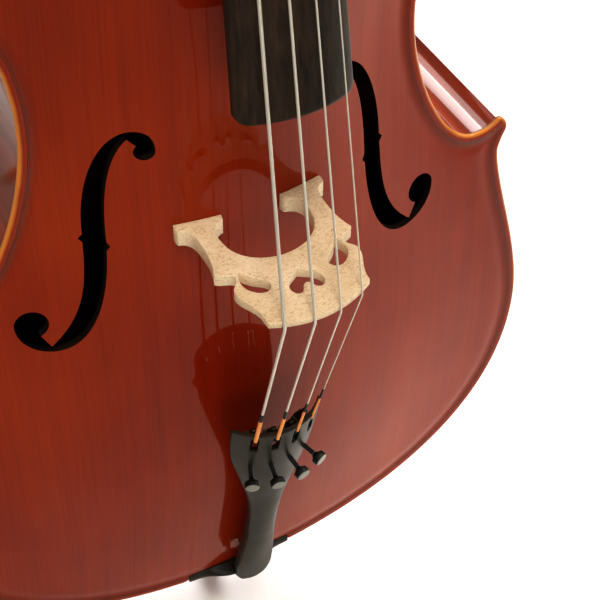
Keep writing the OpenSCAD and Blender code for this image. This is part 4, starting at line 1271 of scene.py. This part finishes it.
def build_endpin():
    rib_bottom = BOTTOM + OVERHANG
    low = rib_bottom - 26

    def spot(u, v, h):
        return (u, MID_Y + v, h)
    neck_low = CORD_Z - CORD_R - 1
    profile = [(r, rib_bottom + h) for r, h in ((6, 1), (15, 0.5), (15, -2.9), (14.4, -3.5), (12, -3.8))]
    profile += [(r, neck_low + h) for r, h in ((12, 0.4), (14.6, 0), (16, -1.6), (15.4, -6))]
    profile += [(r, low + h) for r, h in ((16, 5), (15.6, 1.2), (14.4, 0), (5.6, 0), (5.3, 0.6), (5.3, 8))]
    socket = lathe("socket", profile, spot, EBONY, 56)
    plug = [(r, rib_bottom + h) for r, h in ((5.4, -0.5), (12, -0.5), (12, 44), (11.5, 45), (5.4, 45))]
    plug = lathe("plug", plug, spot, EBONY, 48)
    finish_piece(join("endpin_collar", [socket, plug]), "body", "ebony", "endpin_socket")
    rod_low, rod_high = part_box("endpin_rod")
    rod_r = rod_high.x / MM
    a, b = rod_low.z / MM - LIFT, rod_high.z / MM - LIFT
    rod = [(0.01, a), (rod_r, a), (rod_r, b - 1), (rod_r - 1, b), (0.01, b)]
    finish_piece(lathe("endpin_rod_steel", rod, spot, STEEL), "endpin", "rod_steel", "endpin_rod")
    foot_low, foot_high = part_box("endpin_foot")
    a, b = foot_low.z / MM - LIFT, foot_high.z / MM - LIFT
    foot = [(0.01, a), (5.4, a), (7.2, a + 0.9), (8, a + 2.6)]
    for k in range(5):
        h = a + 5 + 3 * k
        foot += [(8, h), (7.6, h + 0.4), (7.6, h + 1.0), (8, h + 1.4)]
    foot += [(8, b - 3), (7.2, b - 0.8), (6.4, b), (rod_r, b)]
    finish_piece(lathe("endpin_foot_rubber", foot, spot, RUBBER, 48), "endpin", "foot_rubber", "endpin_foot")
    screw_z = low + 8

    def side_spot(u, v, h):
        return (h, MID_Y + u, screw_z + v)
    stem = [(0.01, 5.3), (3, 5.3)]
    for h in np.arange(6.0, 19.0, 1.0):
        stem += [(3, h), (2.6, h + 0.5)]
    stem += [(3, 19.4), (5, 19.6), (5, 23), (4.4, 23.6), (0.01, 23.6)]
    parts = [lathe("stem", stem, side_spot, STEEL, 28)]
    rings = []
    for h, w, t in ((22.5, 4, 1.8), (24, 6.4, 1.6), (26.5, 8, 1.5), (28.6, 7.6, 1.4), (29.7, 5.6, 1.1),
                    (30, 3, 0.6)):
        rings.append([side_spot(w * cos(q), t * sin(q), h) for q in circle(28)])
    parts.append(mesh_object("wing", *loft(rings), [STEEL], 50))
    finish_piece(join("endpin_thumb_screw_steel", parts), "endpin_thumb_screw", "rod_steel", "endpin_screw")


# ---------------------------------------------------------------- CAD nodes that stay
def dress_cad_nodes():
    wooden = ("neck_block", "end_block", "corner_blocks_upper", "corner_blocks_lower", "linings_belly",
              "linings_back", "bass_bar", "sound_post")
    kept = {"lever_pins": STEEL, "ball_ends": BALL, **dict.fromkeys(wooden, INNER_WOOD)}
    for node, material in kept.items():
        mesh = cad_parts[node].data
        mesh.materials.clear()
        mesh.materials.append(material)


# ---------------------------------------------------------------- stage
def build_stage():
    mesh = bpy.data.meshes.new("floor")
    half = 60.0
    mesh.from_pydata([(x, y, 0) for x, y in ((-half, -half), (half, -half), (half, half), (-half, half))], [],
                     [(0, 1, 2, 3)])
    floor = link("floor", mesh)
    s = Shader("floor_paper", Roughness=0.9)
    tone = s.ramp(s.noise(3, (1, 1, 1), 2), [(0.3, (0.80, 0.80, 0.795)), (0.7, (0.83, 0.83, 0.825))])
    mesh.materials.append(s.use(Base_Color=tone))


def area_light(name, spot, target, size, power, spread=180, colour=(1, 1, 1)):
    data = bpy.data.lights.new(name, "AREA")
    data.shape, data.size = "SQUARE", size
    data.energy, data.spread, data.color = power, radians(spread), colour
    obj = link(name, data)
    obj.location = spot
    obj.rotation_euler = (Vector(target) - Vector(spot)).to_track_quat("-Z", "Y").to_euler()


WARM = (1.0, 0.94, 0.84)


def build_light():
    world = bpy.data.worlds.new("studio")
    world.use_nodes = True
    background = world.node_tree.nodes["Background"]
    background.inputs["Color"].default_value = (*WARM, 1)
    background.inputs["Strength"].default_value = 0.4
    bpy.context.scene.world = world
    bpy.context.scene.view_settings.view_transform = "Standard"
    bpy.context.scene.view_settings.look = "High Contrast"
    area_light("side", (1.3, -0.2, 0.75), (0.35, -0.2, 0.1), 0.8, 2)
    area_light("front", (-0.5, -2.7, 1.1), (0, 0, 0.5), 1.3, 1.1, 50)
    area_light("top", (-0.3, -0.9, 2.3), (0, -0.1, 0.45), 0.6, 0.6, 26, WARM)
    area_light("paper", (1.25, 0.15, 1.4), (0.77, -0.22, 0), 0.6, 3.2, 64, WARM)
    area_light("low", (0.15, 0.6, 0.35), (0.0, 0.08, 0), 0.4, 0.8, 50)
    area_light("backdrop", (0.7, 1.3, 1.6), (0.6, 0.45, 0), 0.8, 5, 76)
    area_light("rim", (0.1, 1.0, 1.55), (0.17, 0, 0.41), 0.5, 3.2)


# the camera, seen from the bridge line at the belly's edge
CAMERA_FROM_BRIDGE = (-0.2866, -0.6035, 0.5861)
CAMERA_AZIMUTH, CAMERA_ELEVATION, CAMERA_ROLL = -28.875, 45.445, 1.025
CAMERA_LENS = 95.57


def build_camera():
    data = bpy.data.cameras.new("camera")
    data.lens, data.sensor_width = CAMERA_LENS, 36
    data.clip_start = 0.02
    obj = link("camera", data)
    obj.location = Vector(place([0, 0, 0])) + Vector(CAMERA_FROM_BRIDGE)
    azimuth, elevation = radians(CAMERA_AZIMUTH), radians(CAMERA_ELEVATION)
    ahead = Vector((-sin(azimuth) * cos(elevation), cos(azimuth) * cos(elevation), -sin(elevation)))
    turn = ahead.to_track_quat("-Z", "Y").to_matrix().to_4x4()
    obj.rotation_euler = (turn @ Matrix.Rotation(radians(CAMERA_ROLL), 4, "Z")).to_euler()
    bpy.context.scene.camera = obj


for build in (build_camera, build_belly, build_back, build_purfling, build_ribs, build_fingerboard,
              build_nut, build_neck, build_pegs, build_bridge, build_tailpiece, build_tuners,
              build_tail_cord, build_strings, build_saddle, build_endpin, dress_cad_nodes, build_stage,
              build_light):
    build()
